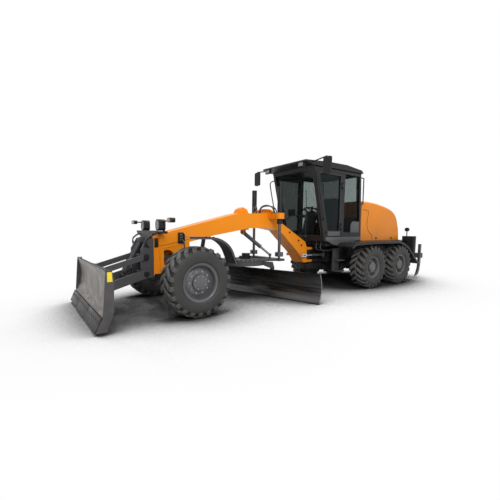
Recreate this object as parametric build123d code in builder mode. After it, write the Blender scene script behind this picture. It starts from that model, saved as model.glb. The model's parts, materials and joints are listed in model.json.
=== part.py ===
from build123d import *
from math import cos, hypot, pi, radians, sin
import os

os.makedirs("parts", exist_ok=True)

# Motor grader, millimetres, +X forward, +Y to its left, +Z up, ground at Z = 0.
# Every X is set out from the front axle, and the origin lies midway between the dozer edge and the ripper.

# Wheels and their stations
WHEELBASE = 5634
TANDEM_PITCH = 1324
FRONT_OVERHANG = 1620
REAR_OVERHANG = 2430
TRACK_HALF = 1015
TYRE_WIDTH = 405
FRONT_TYRE_R = 588
REAR_TYRE_R = 538
FRONT_RIM_R = 305
REAR_RIM_R = 254
LUGS = 22
LUG_HEIGHT = 36
LUG_SHARE = 0.4
LUG_SWEEP = 0.55
SPINDLE_R = 60
RUN = 0.05
SEAT_GAP = 0.3

OVERALL = FRONT_OVERHANG + WHEELBASE + REAR_OVERHANG
AX = OVERALL / 2 - FRONT_OVERHANG
TX = AX - WHEELBASE
# The rear unit is set out from the tandem, so it keeps its own layout at any wheelbase
RU = TX + 5634

# Front axle and steering
KINGPIN_Y = TRACK_HALF - 265
KINGPIN_R = 30
KNUCKLE_R = 55
KNUCKLE_HALF = 100
YOKE_GAP = 5
YOKE_THICK = 55
FENDER_THICK = 8
FENDER_LIP = 38

# Gooseneck and articulation
NECK_HALF = 190
NOSE_PLATE = 40
BALL_X = AX + 160
BALL_Z = 930
ARTIC_X = RU - 3800
ARTIC_PIN_R = 60
FORK_R = 150
TONGUE_LOW = 710
TONGUE_HIGH = 960
FORK_GAP = 5
FORK_THICK = 60
EAR_X = ARTIC_X + 420
EAR_Y = NECK_HALF + 60
EAR_Z = 835
HORN_X = ARTIC_X - 260
HORN_Y = 330

# Lift cylinders
LIFT_X = AX - 2400
LIFT_Y = 450
LIFT_BALL_Z = 880
LIFT_BALL_R = 40
LIFT_ROD_R = 32
LIFT_BARREL_R = 58
LIFT_TOP = 2410
SADDLE_LOW = 1700
LIFT_FOOT = SADDLE_LOW - 110
SADDLE_HIGH = 1830

# Circle and moldboard
CIRCLE_X = AX - 1700
CIRCLE_R = 500
CIRCLE_HUB_R = 300
MOTOR_Y = -120
CIRCLE_LOW = 690
CIRCLE_HIGH = 760
BLADE_ANGLE = 16
BLADE_LENGTH = 3355
BLADE_HEIGHT = 575
BLADE_CLEAR = 30
BLADE_SET = 205
BLADE_SAG = 100
BLADE_THICK = 22
BLADE_SHIFT = 72.5
EDGE_HEIGHT = 105
EDGE_THICK = 20
EDGE_DROP = 18
RAIL_DEPTH = 50
RAIL_HALF = 1150
ARM_U = 520
ARM_HALF = 30
SLIDE_GAP = 1

# Dozer blade and its parallel linkage
DOZER_HALF = 1214
DOZER_PIN_X = AX + 620
DOZER_PIN_Z = 680
DOZER_RISE = 300
DOZER_RUN = 700
DOZER_DROP = 200
DOZER_PIN_R = 30
DOZER_CLEAR = 45
DOZER_TOP = 897
DOZER_LINK_Y = 330
DOZER_LINK_HALF = 25

# Cab
CAB_HALF = 700
CAB_WALL = 55
CAB_FLOOR = 1190
CAB_EAVE = 2930
CAB_FRONT_LOW = RU - 3640
CAB_FRONT_HIGH = RU - 3200
CAB_REAR_LOW = RU - 5130
CAB_REAR_HIGH = RU - 5040
B_POST = RU - 4250
DOOR_LOW = 1300
DOOR_HIGH = 2850
DOOR_GAP = 6
GLASS = 8

# Rear frame, hood and fenders
RAIL_OUT = 330
RAIL_IN = 250
RAIL_LOW = 720
RAIL_HIGH = 1000
DECK = 1185
DECK_HALF = TRACK_HALF - 255
HOOD_HALF = 600
HOOD_LOW = DECK + 0.5
HOOD_WALL = 16
HOOD_FRONT = RU - 5250
HOOD_REAR = RU - 7285
TAIL_X = RU - 7420
HOOD_PIN_X = HOOD_REAR - 25
HOOD_PIN_Z = DECK + 30
HOOD_PIN_R = 12
GRILLE_SLOTS = 8

# Ripper
RIPPER_X = RU - 7530
RIPPER_Z = 820
RIPPER_BEAM_X = TX - REAR_OVERHANG + 100
RIPPER_HALF = 960
RIPPER_TIP = 60
SHANKS = 6
HITCH_R = 27


def ccw(points):
    area = 0
    for (x0, z0), (x1, z1) in zip(points, points[1:] + points[:1]):
        area += x0 * z1 - x1 * z0
    return points if area > 0 else points[::-1]


def slab(points, y_low, y_high, mode=Mode.ADD):
    """A side-view outline of X and Z points, given width from y_low to y_high."""
    with BuildSketch(Plane.XZ.offset(-y_high)) as outline:
        Polygon(*ccw(points), align=None)
    extrude(outline.sketch, amount=y_high - y_low, mode=mode)


def brick(x_low, x_high, y_low, y_high, z_low, z_high, mode=Mode.ADD):
    with Locations(((x_low + x_high) / 2, (y_low + y_high) / 2, (z_low + z_high) / 2)):
        Box(x_high - x_low, y_high - y_low, z_high - z_low, mode=mode)


def bar(start, end, radius, mode=Mode.ADD):
    """A round bar between two points."""
    line = Vector(*end) - Vector(*start)
    with BuildSketch(Plane(origin=start, z_dir=line)) as ring:
        Circle(radius)
    extrude(ring.sketch, amount=line.length, mode=mode)


def cross_bar(x, z, y_low, y_high, radius, mode=Mode.ADD):
    bar((x, y_low, z), (x, y_high, z), radius, mode)


def along(start, end, distance, lift=0):
    """The point at a distance along a side-view line, lifted square to it."""
    length = hypot(end[0] - start[0], end[1] - start[1])
    ux, uz = (end[0] - start[0]) / length, (end[1] - start[1]) / length
    return (start[0] + ux * distance - uz * lift, start[1] + uz * distance + ux * lift)


def link(start, end, half):
    """Four corners of a straight link's outline around a side-view line."""
    length = hypot(end[0] - start[0], end[1] - start[1])
    near = along(start, end, 0, half)
    far = along(start, end, length, half)
    return [near, far, along(start, end, length, -half), along(start, end, 0, -half)]


def save(piece, label):
    piece.part.label = label
    export_step(piece.part, f"parts/{label}.step")


# Wheels: the tyre is a skin of flat facets with chevron lugs, the rim a dished disc with a hub
def lug_ring(centre, y, turn, top):
    """Points round the tread, four to a lug: two on the lug's top and two at its foot."""
    points = []
    for n in range(LUGS):
        foot = top - LUG_HEIGHT
        for share, r in ((0, top), (LUG_SHARE, top), (LUG_SHARE + 0.1, foot), (0.9, foot)):
            angle = radians(360 / LUGS * (n + share + turn))
            points.append((centre[0] + r * cos(angle), y, centre[1] + r * sin(angle)))
    return points


def plain_ring(centre, y, turn, r):
    angles = [radians(360 / LUGS * (n + turn)) for n in range(LUGS)]
    return [(centre[0] + r * cos(angle), y, centre[1] + r * sin(angle)) for angle in angles]


def skin(first, second):
    """Two triangles for each pair of neighbours in two rings of equal count."""
    rows = []
    for n in range(len(first)):
        k = (n + 1) % len(first)
        rows += [(first[n], first[k], second[k]), (first[n], second[k], second[n])]
    return rows


def shoulder(lugs, plain):
    """Five triangles for each lug, from the tread's edge down to a plain ring."""
    rows = []
    for n in range(LUGS):
        edge = [lugs[(4 * n + k) % len(lugs)] for k in range(5)]
        rows += [(plain[n], edge[k], edge[k + 1]) for k in range(4)]
        rows.append((plain[n], edge[4], plain[(n + 1) % LUGS]))
    return rows


def tyre(label, x, sign, tyre_r, rim_r):
    centre = (x, tyre_r)
    half = TYRE_WIDTH / 2
    middle = sign * TRACK_HALF
    top = tyre_r / cos(pi * LUG_SHARE / LUGS)
    bulge = rim_r + 0.45 * (tyre_r - rim_r)
    turn = 0.5 - LUG_SHARE / 2
    crown = lug_ring(centre, middle, turn, top)
    seats = []
    rows = []
    for way in (-1, 1):
        edge = lug_ring(centre, middle + way * (half - 38), turn - LUG_SWEEP, top - 6)
        side = plain_ring(centre, middle + way * half, turn - LUG_SWEEP + 0.45, bulge)
        bead = plain_ring(centre, middle + way * (half - 36), turn - LUG_SWEEP + 0.45, rim_r + 14)
        seat_r = rim_r / cos(pi / LUGS)
        seat_ring = plain_ring(centre, middle + way * (half - 52), turn - LUG_SWEEP + 0.45, seat_r)
        rows += skin(crown, edge) + shoulder(edge, side) + skin(side, bead) + skin(bead, seat_ring)
        seats.append(seat_ring)
    rows += skin(*seats)
    with BuildPart() as ring:
        add(Solid(Shell([Face(Wire.make_polygon(row, close=True)) for row in rows])))
    save(ring, label)


def rim(label, x, sign, tyre_r, rim_r):
    def out(y):
        return sign * (TRACK_HALF + y)

    with BuildPart() as wheel:
        cross_bar(x, tyre_r, out(-150), out(150), rim_r - SEAT_GAP)
        cross_bar(x, tyre_r, out(-150), out(20), rim_r - 18, Mode.SUBTRACT)
        cross_bar(x, tyre_r, out(45), out(150), rim_r - 18, Mode.SUBTRACT)
        cross_bar(x, tyre_r, out(-90), out(30), 150)
        cross_bar(x, tyre_r, out(40), out(135), 130)
        cross_bar(x, tyre_r, out(-90), out(60), SPINDLE_R + RUN, Mode.SUBTRACT)
    save(wheel, label)


REAR_WHEELS = {"front": TX + TANDEM_PITCH / 2, "rear": TX - TANDEM_PITCH / 2}
SIDES = {"left": 1, "right": -1}
for name, sign in SIDES.items():
    tyre(f"tyre_steer_{name}", AX, sign, FRONT_TYRE_R, FRONT_RIM_R)
    rim(f"rim_steer_{name}", AX, sign, FRONT_TYRE_R, FRONT_RIM_R)
    for place, station in REAR_WHEELS.items():
        tyre(f"tyre_tandem_{name}_{place}", station, sign, REAR_TYRE_R, REAR_RIM_R)
        rim(f"rim_tandem_{name}_{place}", station, sign, REAR_TYRE_R, REAR_RIM_R)

# Front axle: beam, differential and an open yoke at each kingpin
YOKE_LOW = KNUCKLE_HALF + YOKE_GAP
YOKE_HIGH = YOKE_LOW + YOKE_THICK
AXLE_PAD = 690
with BuildPart() as front_axle:
    brick(AX - 80, AX + 80, -KINGPIN_Y + 100, KINGPIN_Y - 100, FRONT_TYRE_R - 75, FRONT_TYRE_R + 75)
    with Locations((AX, 0, AXLE_PAD - 167)):
        Sphere(165)
    brick(AX - 110, AX + 110, -150, 150, FRONT_TYRE_R, AXLE_PAD)
    for sign in SIDES.values():
        wall = sorted((sign * (KINGPIN_Y - 110), sign * (KINGPIN_Y - KNUCKLE_R - YOKE_GAP)))
        lug = sorted((sign * (KINGPIN_Y - 110), sign * (KINGPIN_Y + 60)))
        brick(AX - 60, AX + 60, *wall, FRONT_TYRE_R - YOKE_HIGH, FRONT_TYRE_R + YOKE_HIGH)
        brick(AX - 60, AX + 60, *lug, FRONT_TYRE_R + YOKE_LOW, FRONT_TYRE_R + YOKE_HIGH)
        brick(AX - 60, AX + 60, *lug, FRONT_TYRE_R - YOKE_HIGH, FRONT_TYRE_R - YOKE_LOW)
        pin_low = (AX, sign * KINGPIN_Y, FRONT_TYRE_R - YOKE_HIGH)
        pin_high = (AX, sign * KINGPIN_Y, FRONT_TYRE_R + YOKE_HIGH)
        bar(pin_low, pin_high, KINGPIN_R + RUN, Mode.SUBTRACT)
save(front_axle, "front_axle")

# Steering knuckles carry the spindle, the kingpin and the front fender's bracket
GUARD = [(AX + 205, 1335), (AX - 330, 1325), (AX - 580, 1180), (AX - 720, 860)]
BRACKET_X = AX - 280
BRACKET_Z = 1325 - FENDER_THICK - 15


def knuckle(label, sign):
    y = sign * KINGPIN_Y
    with BuildPart() as steer:
        bar((AX, y, FRONT_TYRE_R - KNUCKLE_HALF), (AX, y, FRONT_TYRE_R + KNUCKLE_HALF), KNUCKLE_R)
        bar((AX, y, FRONT_TYRE_R - YOKE_HIGH), (AX, y, FRONT_TYRE_R + YOKE_HIGH), KINGPIN_R)
        cross_bar(AX, FRONT_TYRE_R, y, sign * (KINGPIN_Y + 85), 75)
        cross_bar(AX, FRONT_TYRE_R, y, sign * (TRACK_HALF + 58), SPINDLE_R)
        plate = sorted((sign * (KINGPIN_Y + 5), sign * (KINGPIN_Y + 40)))
        foot = [(AX - 190, 600), (AX, 540), (AX, 640), (AX - 130, 660)]
        slab(foot + [(BRACKET_X + 30, BRACKET_Z), (BRACKET_X - 30, BRACKET_Z)], *plate)
        cross_bar(BRACKET_X, BRACKET_Z, y, sign * (TRACK_HALF + 140), 15)
    save(steer, label)


def sunk(line, depth):
    """A side-view line closed by the same line moved down and toward the wheel."""
    return line + [(x + depth * (0.5 if z < 1000 else 0), z - depth) for x, z in line[::-1]]


def fender(label, sign):
    edge = sorted((sign * (TRACK_HALF - 165), sign * (TRACK_HALF + 180)))
    lip = sorted((sign * (TRACK_HALF + 172), sign * (TRACK_HALF + 180)))
    with BuildPart() as guard:
        slab(sunk(GUARD, FENDER_THICK), *edge)
        slab(sunk(GUARD, FENDER_LIP), *lip)
    save(guard, label)


for name, sign in SIDES.items():
    knuckle(f"knuckle_{name}", sign)
    fender(f"fender_front_{name}", sign)

# Centre-shift cylinder from the neck to the drawbar's left leg
SHIFT_TOP = (AX - 1800, -100, 1400)
SHIFT_END = (AX - 2200, 370, 905)
SHIFT_LINE = Vector(*SHIFT_END) - Vector(*SHIFT_TOP)
SHIFT_LONG = SHIFT_LINE.length
SHIFT_UNIT = SHIFT_LINE.normalized()
SHIFT_BALL_R = 36
SHIFT_HEAD_R = 55
TRUNNION_R = 25
TRUNNION_REACH = 85
SHIFT_AXIS = Vector(SHIFT_UNIT.Y, -SHIFT_UNIT.X, 0).normalized()


def trunnion_at(distance):
    return tuple(Vector(*SHIFT_TOP) + SHIFT_AXIS * distance)


# Gooseneck: sloping box, nose bracket for axle and drawbar ball, and the articulation fork
FORK_LOW = TONGUE_LOW - FORK_GAP - FORK_THICK
FORK_HIGH = TONGUE_HIGH + FORK_GAP + FORK_THICK
NECK = [
    (AX + 310, 1360), (AX - 1470, 1805), (AX - 2330, 1830), (AX - 2800, 1570), (ARTIC_X + 260, 1165),
    (ARTIC_X + 200, FORK_HIGH), (ARTIC_X + 200, FORK_LOW), (ARTIC_X + 300, FORK_LOW), (ARTIC_X + 510, 905),
    (AX - 2660, 1440), (AX - 2300, 1500), (AX - 1760, 1490), (AX - 870, 1340), (AX - 60, 1160),
    (AX + 300, 1085),
]
NOSE = [
    (AX + 440, 640), (AX + 440, 1320), (AX + 310, 1360), (AX + 200, 1100), (AX - 60, 1165),
    (AX - 300, 1215), (AX - 330, 900), (AX - 200, AXLE_PAD), (AX + 250, AXLE_PAD), (AX + 300, 640),
]
HUMP = [(AX - 1500, 1790), (AX - 1560, 1900), (AX - 1650, 1945), (AX - 1760, 1900), (AX - 1820, 1790)]
with BuildPart() as gooseneck:
    slab(NECK, -NECK_HALF, NECK_HALF)
    slab(HUMP, -90, 90)
    seat_z = SHIFT_TOP[2] + SHIFT_HEAD_R + 0.5
    brick(SHIFT_TOP[0] - 90, SHIFT_TOP[0] + 90, SHIFT_TOP[1] - 90, SHIFT_TOP[1] + 90, seat_z, seat_z + 75)
    for side in (-TRUNNION_REACH, TRUNNION_REACH - 24):
        with BuildSketch(Plane(origin=trunnion_at(side), x_dir=(0, 0, 1), z_dir=SHIFT_AXIS)) as cheek:
            Circle(TRUNNION_R + 20)
            with Locations((SHIFT_HEAD_R / 2 + 5, 0)):
                Rectangle(SHIFT_HEAD_R + 10, 2 * TRUNNION_R + 40)
        extrude(cheek.sketch, amount=24)
    bar(trunnion_at(-TRUNNION_REACH - 1), trunnion_at(TRUNNION_REACH + 1), TRUNNION_R + RUN, Mode.SUBTRACT)
    for sign in SIDES.values():
        slab(NOSE, *sorted((sign * (NECK_HALF - NOSE_PLATE - 12), sign * (NECK_HALF - 12))))
    cross_bar(BALL_X, BALL_Z, -NECK_HALF - 1, NECK_HALF + 1, 145, Mode.SUBTRACT)
    brick(AX + 425, AX + 465, -230, 230, 620, 1320)
    brick(AX - 200, AX + 250, -NECK_HALF, NECK_HALF, AXLE_PAD, AXLE_PAD + 60)
    brick(BALL_X + 70, BALL_X + 140, -NECK_HALF, NECK_HALF, AXLE_PAD, 1150)
    for low in (FORK_LOW, FORK_HIGH - FORK_THICK):
        brick(ARTIC_X, ARTIC_X + 300, -FORK_R, FORK_R, low, low + FORK_THICK)
        bar((ARTIC_X, 0, low), (ARTIC_X, 0, low + FORK_THICK), FORK_R)
    bar((ARTIC_X, 0, FORK_LOW), (ARTIC_X, 0, FORK_HIGH), ARTIC_PIN_R + RUN, Mode.SUBTRACT)
    for sign in SIDES.values():
        ear = sorted((sign * (NECK_HALF - 10), sign * EAR_Y))
        brick(EAR_X - 42, EAR_X + 42, *ear, EAR_Z - 15, EAR_Z + 15)
        bar((EAR_X, sign * EAR_Y, EAR_Z - 15), (EAR_X, sign * EAR_Y, EAR_Z + 15), 42)
save(gooseneck, "gooseneck")

# Saddle over the neck with a clamp round each lift barrel
with BuildPart() as saddle:
    for sign in SIDES.values():
        y = sign * LIFT_Y
        brick(LIFT_X - 95, LIFT_X + 95, *sorted((sign * (NECK_HALF - 2), y)), SADDLE_LOW, SADDLE_HIGH)
        bar((LIFT_X, y, SADDLE_LOW), (LIFT_X, y, SADDLE_HIGH), LIFT_BARREL_R + 44)
        bar((LIFT_X, y, SADDLE_LOW), (LIFT_X, y, SADDLE_HIGH), LIFT_BARREL_R, Mode.SUBTRACT)
    brick(LIFT_X - 110, LIFT_X + 110, -NECK_HALF - 60, NECK_HALF + 60, SADDLE_HIGH - 100, SADDLE_HIGH + 20)
    slab(NECK, -NECK_HALF, NECK_HALF, Mode.SUBTRACT)
save(saddle, "saddle")

# Lift cylinders: barrels held in the saddle, rods that end in caps over the drawbar's ball studs
with BuildPart() as lift_barrels:
    for sign in SIDES.values():
        foot = (LIFT_X, sign * LIFT_Y, LIFT_FOOT)
        bar(foot, (LIFT_X, sign * LIFT_Y, LIFT_TOP), LIFT_BARREL_R)
        bar(foot, (LIFT_X, sign * LIFT_Y, LIFT_TOP - 20), LIFT_ROD_R + RUN, Mode.SUBTRACT)
save(lift_barrels, "lift_barrels")

CAP_R = 92
CAP_POCKET = 80
CAP_CEILING = LIFT_BALL_Z + LIFT_BALL_R + 0.9
with BuildPart() as lift_rods:
    for sign in SIDES.values():
        y = sign * LIFT_Y
        bar((LIFT_X, y, CAP_CEILING - 55), (LIFT_X, y, CAP_CEILING + 40), CAP_R)
        bar((LIFT_X, y, CAP_CEILING - 55), (LIFT_X, y, CAP_CEILING), CAP_POCKET, Mode.SUBTRACT)
        bar((LIFT_X, y, CAP_CEILING + 20), (LIFT_X, y, LIFT_FOOT + 390), LIFT_ROD_R)
save(lift_rods, "lift_rods")

# Drawbar: ball end, A-frame, circle plate, rear beam with the two ball studs
DRAW_TOP = 870
BEAM_TOP = 815
PLATE_LOW = CIRCLE_HIGH + 1
LEG_LOW = CIRCLE_HIGH + 6
with BuildPart() as drawbar:
    with Locations((BALL_X, 0, BALL_Z)):
        Sphere(62)
    tongue = [(BALL_X, 895), (BALL_X, 965), (AX - 1100, DRAW_TOP), (AX - 1300, PLATE_LOW + 20)]
    slab(tongue + [(AX - 900, 800)], -65, 65)
    for sign in SIDES.values():
        with BuildSketch(Plane.XY.offset(LEG_LOW)) as leg:
            Polygon(*ccw([
                (AX - 900, sign * 30), (AX - 900, sign * 90),
                (LIFT_X - 60, sign * 500), (LIFT_X - 60, sign * 380),
            ]), align=None)
        extrude(leg.sketch, amount=BEAM_TOP - LEG_LOW)
    bar((CIRCLE_X, 0, PLATE_LOW), (CIRCLE_X, 0, PLATE_LOW + 40), CIRCLE_R - 30)
    bar((CIRCLE_X, 0, CIRCLE_LOW), (CIRCLE_X, 0, PLATE_LOW), CIRCLE_HUB_R)
    brick(LIFT_X - 100, LIFT_X + 80, -LIFT_Y - 80, LIFT_Y + 80, LEG_LOW, BEAM_TOP)
    for sign in SIDES.values():
        bar((LIFT_X, sign * LIFT_Y, BEAM_TOP - 5), (LIFT_X, sign * LIFT_Y, LIFT_BALL_Z), 24)
        with Locations((LIFT_X, sign * LIFT_Y, LIFT_BALL_Z)):
            Sphere(LIFT_BALL_R)
    bar((SHIFT_END[0], SHIFT_END[1], BEAM_TOP - 5), SHIFT_END, 22)
    with Locations(SHIFT_END):
        Sphere(SHIFT_BALL_R)
save(drawbar, "drawbar")

with BuildPart() as swing_motor:
    motor_top = PLATE_LOW + 160
    bar((CIRCLE_X - 200, MOTOR_Y, PLATE_LOW + 40), (CIRCLE_X - 200, MOTOR_Y, motor_top), 95)
    brick(CIRCLE_X - 290, CIRCLE_X - 60, MOTOR_Y - 70, MOTOR_Y + 70, PLATE_LOW + 40, motor_top - 60)
save(swing_motor, "swing_motor")

# Circle and moldboard are drawn in the blade's own direction
EV = (cos(radians(BLADE_ANGLE)), sin(radians(BLADE_ANGLE)), 0)
EU = (-sin(radians(BLADE_ANGLE)), cos(radians(BLADE_ANGLE)), 0)


def blade_plane(u):
    """A cross-section plane at u along the blade, its x axis square to the blade and forward."""
    return Plane(origin=(CIRCLE_X + u * EU[0], u * EU[1], 0), x_dir=EV, z_dir=(-EU[0], -EU[1], 0))


def blade_slab(points, u_low, u_high, mode=Mode.ADD):
    with BuildSketch(blade_plane(u_high)) as outline:
        Polygon(*ccw(points), align=None)
    extrude(outline.sketch, amount=u_high - u_low, mode=mode)


def box_points(v_low, v_high, z_low, z_high):
    return [(v_low, z_low), (v_high, z_low), (v_high, z_high), (v_low, z_high)]


BLADE_MID = BLADE_CLEAR + BLADE_HEIGHT / 2
RAIL_V = -BLADE_SET - BLADE_SAG - BLADE_THICK - 90
RAIL_Z = (BLADE_MID - 105, BLADE_MID + 105)
ARM_TOP = CIRCLE_HIGH - 15
with BuildPart() as circle:
    bar((CIRCLE_X, 0, CIRCLE_LOW), (CIRCLE_X, 0, CIRCLE_HIGH), CIRCLE_R)
    bar((CIRCLE_X, 0, CIRCLE_LOW), (CIRCLE_X, 0, CIRCLE_HIGH), CIRCLE_HUB_R + RUN, Mode.SUBTRACT)
    for u in (-ARM_U, ARM_U):
        arm = [
            (-120, ARM_TOP), (-120, CIRCLE_LOW), (RAIL_V + 10, 600), (RAIL_V + 60, BLADE_MID + 190),
            (RAIL_V + 60, BLADE_MID - 170), (RAIL_V - 70, BLADE_MID - 170), (RAIL_V - 70, 620),
            (-420, ARM_TOP),
        ]
        blade_slab(arm, u - ARM_HALF, u + ARM_HALF)
        for z in RAIL_Z:
            slot = box_points(
                RAIL_V - RAIL_DEPTH / 2 - SLIDE_GAP, RAIL_V + RAIL_DEPTH / 2 + SLIDE_GAP,
                z - RAIL_DEPTH / 2 - SLIDE_GAP, z + RAIL_DEPTH / 2 + SLIDE_GAP,
            )
            blade_slab(slot, u - ARM_HALF, u + ARM_HALF, Mode.SUBTRACT)
    for u in (-ARM_U, ARM_U):
        inner = sorted((u * 0.5, u))
        blade_slab(box_points(-400, -120, CIRCLE_LOW, ARM_TOP), *inner)
    bar((CIRCLE_X, 0, CIRCLE_LOW - 30), (CIRCLE_X, 0, CIRCLE_HIGH), CIRCLE_HUB_R + RUN, Mode.SUBTRACT)
save(circle, "circle")

# Moldboard: a rolled plate with two slide rails on standoffs behind it
ROLL_R = (BLADE_HEIGHT**2 / 4 + BLADE_SAG**2) / (2 * BLADE_SAG)
U_LOW = -BLADE_LENGTH / 2 + BLADE_SHIFT
U_HIGH = BLADE_LENGTH / 2 + BLADE_SHIFT
with BuildPart() as moldboard:
    with BuildSketch(blade_plane(U_HIGH)):
        with BuildLine():
            front = ThreePointArc(
                (-BLADE_SET, BLADE_CLEAR), (-BLADE_SET - BLADE_SAG, BLADE_MID),
                (-BLADE_SET, BLADE_CLEAR + BLADE_HEIGHT),
            )
            back = ThreePointArc(
                (-BLADE_SET - BLADE_THICK, BLADE_CLEAR), (-BLADE_SET - BLADE_SAG - BLADE_THICK, BLADE_MID),
                (-BLADE_SET - BLADE_THICK, BLADE_CLEAR + BLADE_HEIGHT),
            )
            Line(front @ 0, back @ 0)
            Line(front @ 1, back @ 1)
        make_face()
    extrude(amount=BLADE_LENGTH)
    for z in RAIL_Z:
        rail = box_points(
            RAIL_V - RAIL_DEPTH / 2, RAIL_V + RAIL_DEPTH / 2, z - RAIL_DEPTH / 2, z + RAIL_DEPTH / 2
        )
        blade_slab(rail, -RAIL_HALF, RAIL_HALF)
        web = box_points(RAIL_V, -BLADE_SET - BLADE_SAG, z - 20, z + 20)
        for u in (-RAIL_HALF + 30, -60, 60, RAIL_HALF - 30):
            blade_slab(web, u - 30, u + 30)
save(moldboard, "moldboard")

ROLL_V = -BLADE_SET - BLADE_SAG + ROLL_R
EDGE_TOP = BLADE_CLEAR + EDGE_HEIGHT
EDGE_BACK = (ROLL_V - (ROLL_R**2 - (BLADE_MID - EDGE_TOP) ** 2) ** 0.5, EDGE_TOP)
EDGE_FOOT = (-BLADE_SET, BLADE_CLEAR)
EDGE_LONG = hypot(EDGE_BACK[0] - EDGE_FOOT[0], EDGE_HEIGHT)
with BuildPart() as cutting_edge:
    blade_slab([
        along(EDGE_FOOT, EDGE_BACK, -EDGE_DROP), along(EDGE_FOOT, EDGE_BACK, EDGE_LONG),
        along(EDGE_FOOT, EDGE_BACK, EDGE_LONG, -EDGE_THICK),
        along(EDGE_FOOT, EDGE_BACK, -EDGE_DROP, -EDGE_THICK),
    ], U_LOW, U_HIGH)
save(cutting_edge, "cutting_edge")

# Centre-shift cylinder
def shift_at(distance):
    return tuple(Vector(*SHIFT_TOP) + SHIFT_UNIT * distance)


with BuildPart() as shift_barrel:
    with Locations(SHIFT_TOP):
        Sphere(SHIFT_HEAD_R)
    bar(trunnion_at(-TRUNNION_REACH), trunnion_at(TRUNNION_REACH), TRUNNION_R)
    bar(SHIFT_TOP, shift_at(526), 42)
    bar(shift_at(60), shift_at(527), 24 + RUN, Mode.SUBTRACT)
save(shift_barrel, "shift_barrel")
with BuildPart() as shift_rod:
    bar(shift_at(296), shift_at(SHIFT_LONG - SHIFT_BALL_R - 0.5), 24)
save(shift_rod, "shift_rod")

# Dozer: carrier on the nose plate, parallel arms and links, rolled blade
P_LOW = (DOZER_PIN_X, DOZER_PIN_Z)
P_HIGH = (DOZER_PIN_X, DOZER_PIN_Z + DOZER_RISE)
Q_LOW = (DOZER_PIN_X + DOZER_RUN, DOZER_PIN_Z - DOZER_DROP)
Q_HIGH = (DOZER_PIN_X + DOZER_RUN, DOZER_PIN_Z + DOZER_RISE - DOZER_DROP)
LINK_OUT = DOZER_LINK_Y + DOZER_LINK_HALF
LINK_IN = DOZER_LINK_Y - DOZER_LINK_HALF
DOZER_CYL = (AX + 590, 1270)
with BuildPart() as dozer_carrier:
    brick(AX + 465, AX + 505, -LINK_IN + 5, LINK_IN - 5, 600, 1290)
    for sign in SIDES.values():
        cheek = sorted((sign * (LINK_IN - 5), sign * (LINK_IN - 55)))
        slab([(AX + 465, 600), (AX + 690, 600), (AX + 690, 1100), (AX + 580, 1290), (AX + 465, 1290)], *cheek)
    for pin in (P_LOW, P_HIGH):
        cross_bar(*pin, -LINK_OUT - 10, LINK_OUT + 10, DOZER_PIN_R)
    for sign in SIDES.values():
        lug = sorted((sign * 45, sign * 75))
        slab([(AX + 480, 1180), (AX + 480, 1290), (AX + 560, 1315), (AX + 630, 1300), (AX + 630, 1230)], *lug)
    cross_bar(*DOZER_CYL, -80, 80, 25)
    with BuildSketch(Plane.YZ.offset(AX + 480)) as visor:
        Polygon((-150, 1280), (150, 1280), (500, 1395), (500, 1430), (-500, 1430), (-500, 1395), align=None)
    extrude(visor.sketch, amount=25)
save(dozer_carrier, "dozer_carrier")

RAM = along(P_LOW, Q_LOW, 260, 110)
with BuildPart() as dozer_arms:
    for sign in SIDES.values():
        width = sorted((sign * LINK_IN, sign * LINK_OUT))
        slab(link(P_LOW, Q_LOW, 75), *width)
        cross_bar(*P_LOW, *width, 75)
        cross_bar(*Q_LOW, *width, 75)
    cross_bar(*along(P_LOW, Q_LOW, 260), -LINK_IN - 10, LINK_IN + 10, 36)
    slab(link(along(P_LOW, Q_LOW, 260), RAM, 34), -20, 20)
    cross_bar(*RAM, -20, 20, 35)
    for pin in (P_LOW, Q_LOW):
        cross_bar(*pin, -LINK_OUT - 1, LINK_OUT + 1, DOZER_PIN_R + RUN, Mode.SUBTRACT)
save(dozer_arms, "dozer_arms")

with BuildPart() as dozer_links:
    for sign in SIDES.values():
        width = sorted((sign * LINK_IN, sign * LINK_OUT))
        slab(link(P_HIGH, Q_HIGH, 45), *width)
        cross_bar(*P_HIGH, *width, 50)
        cross_bar(*Q_HIGH, *width, 50)
    for pin in (P_HIGH, Q_HIGH):
        cross_bar(*pin, -LINK_OUT - 1, LINK_OUT + 1, DOZER_PIN_R + RUN, Mode.SUBTRACT)
save(dozer_links, "dozer_links")

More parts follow.
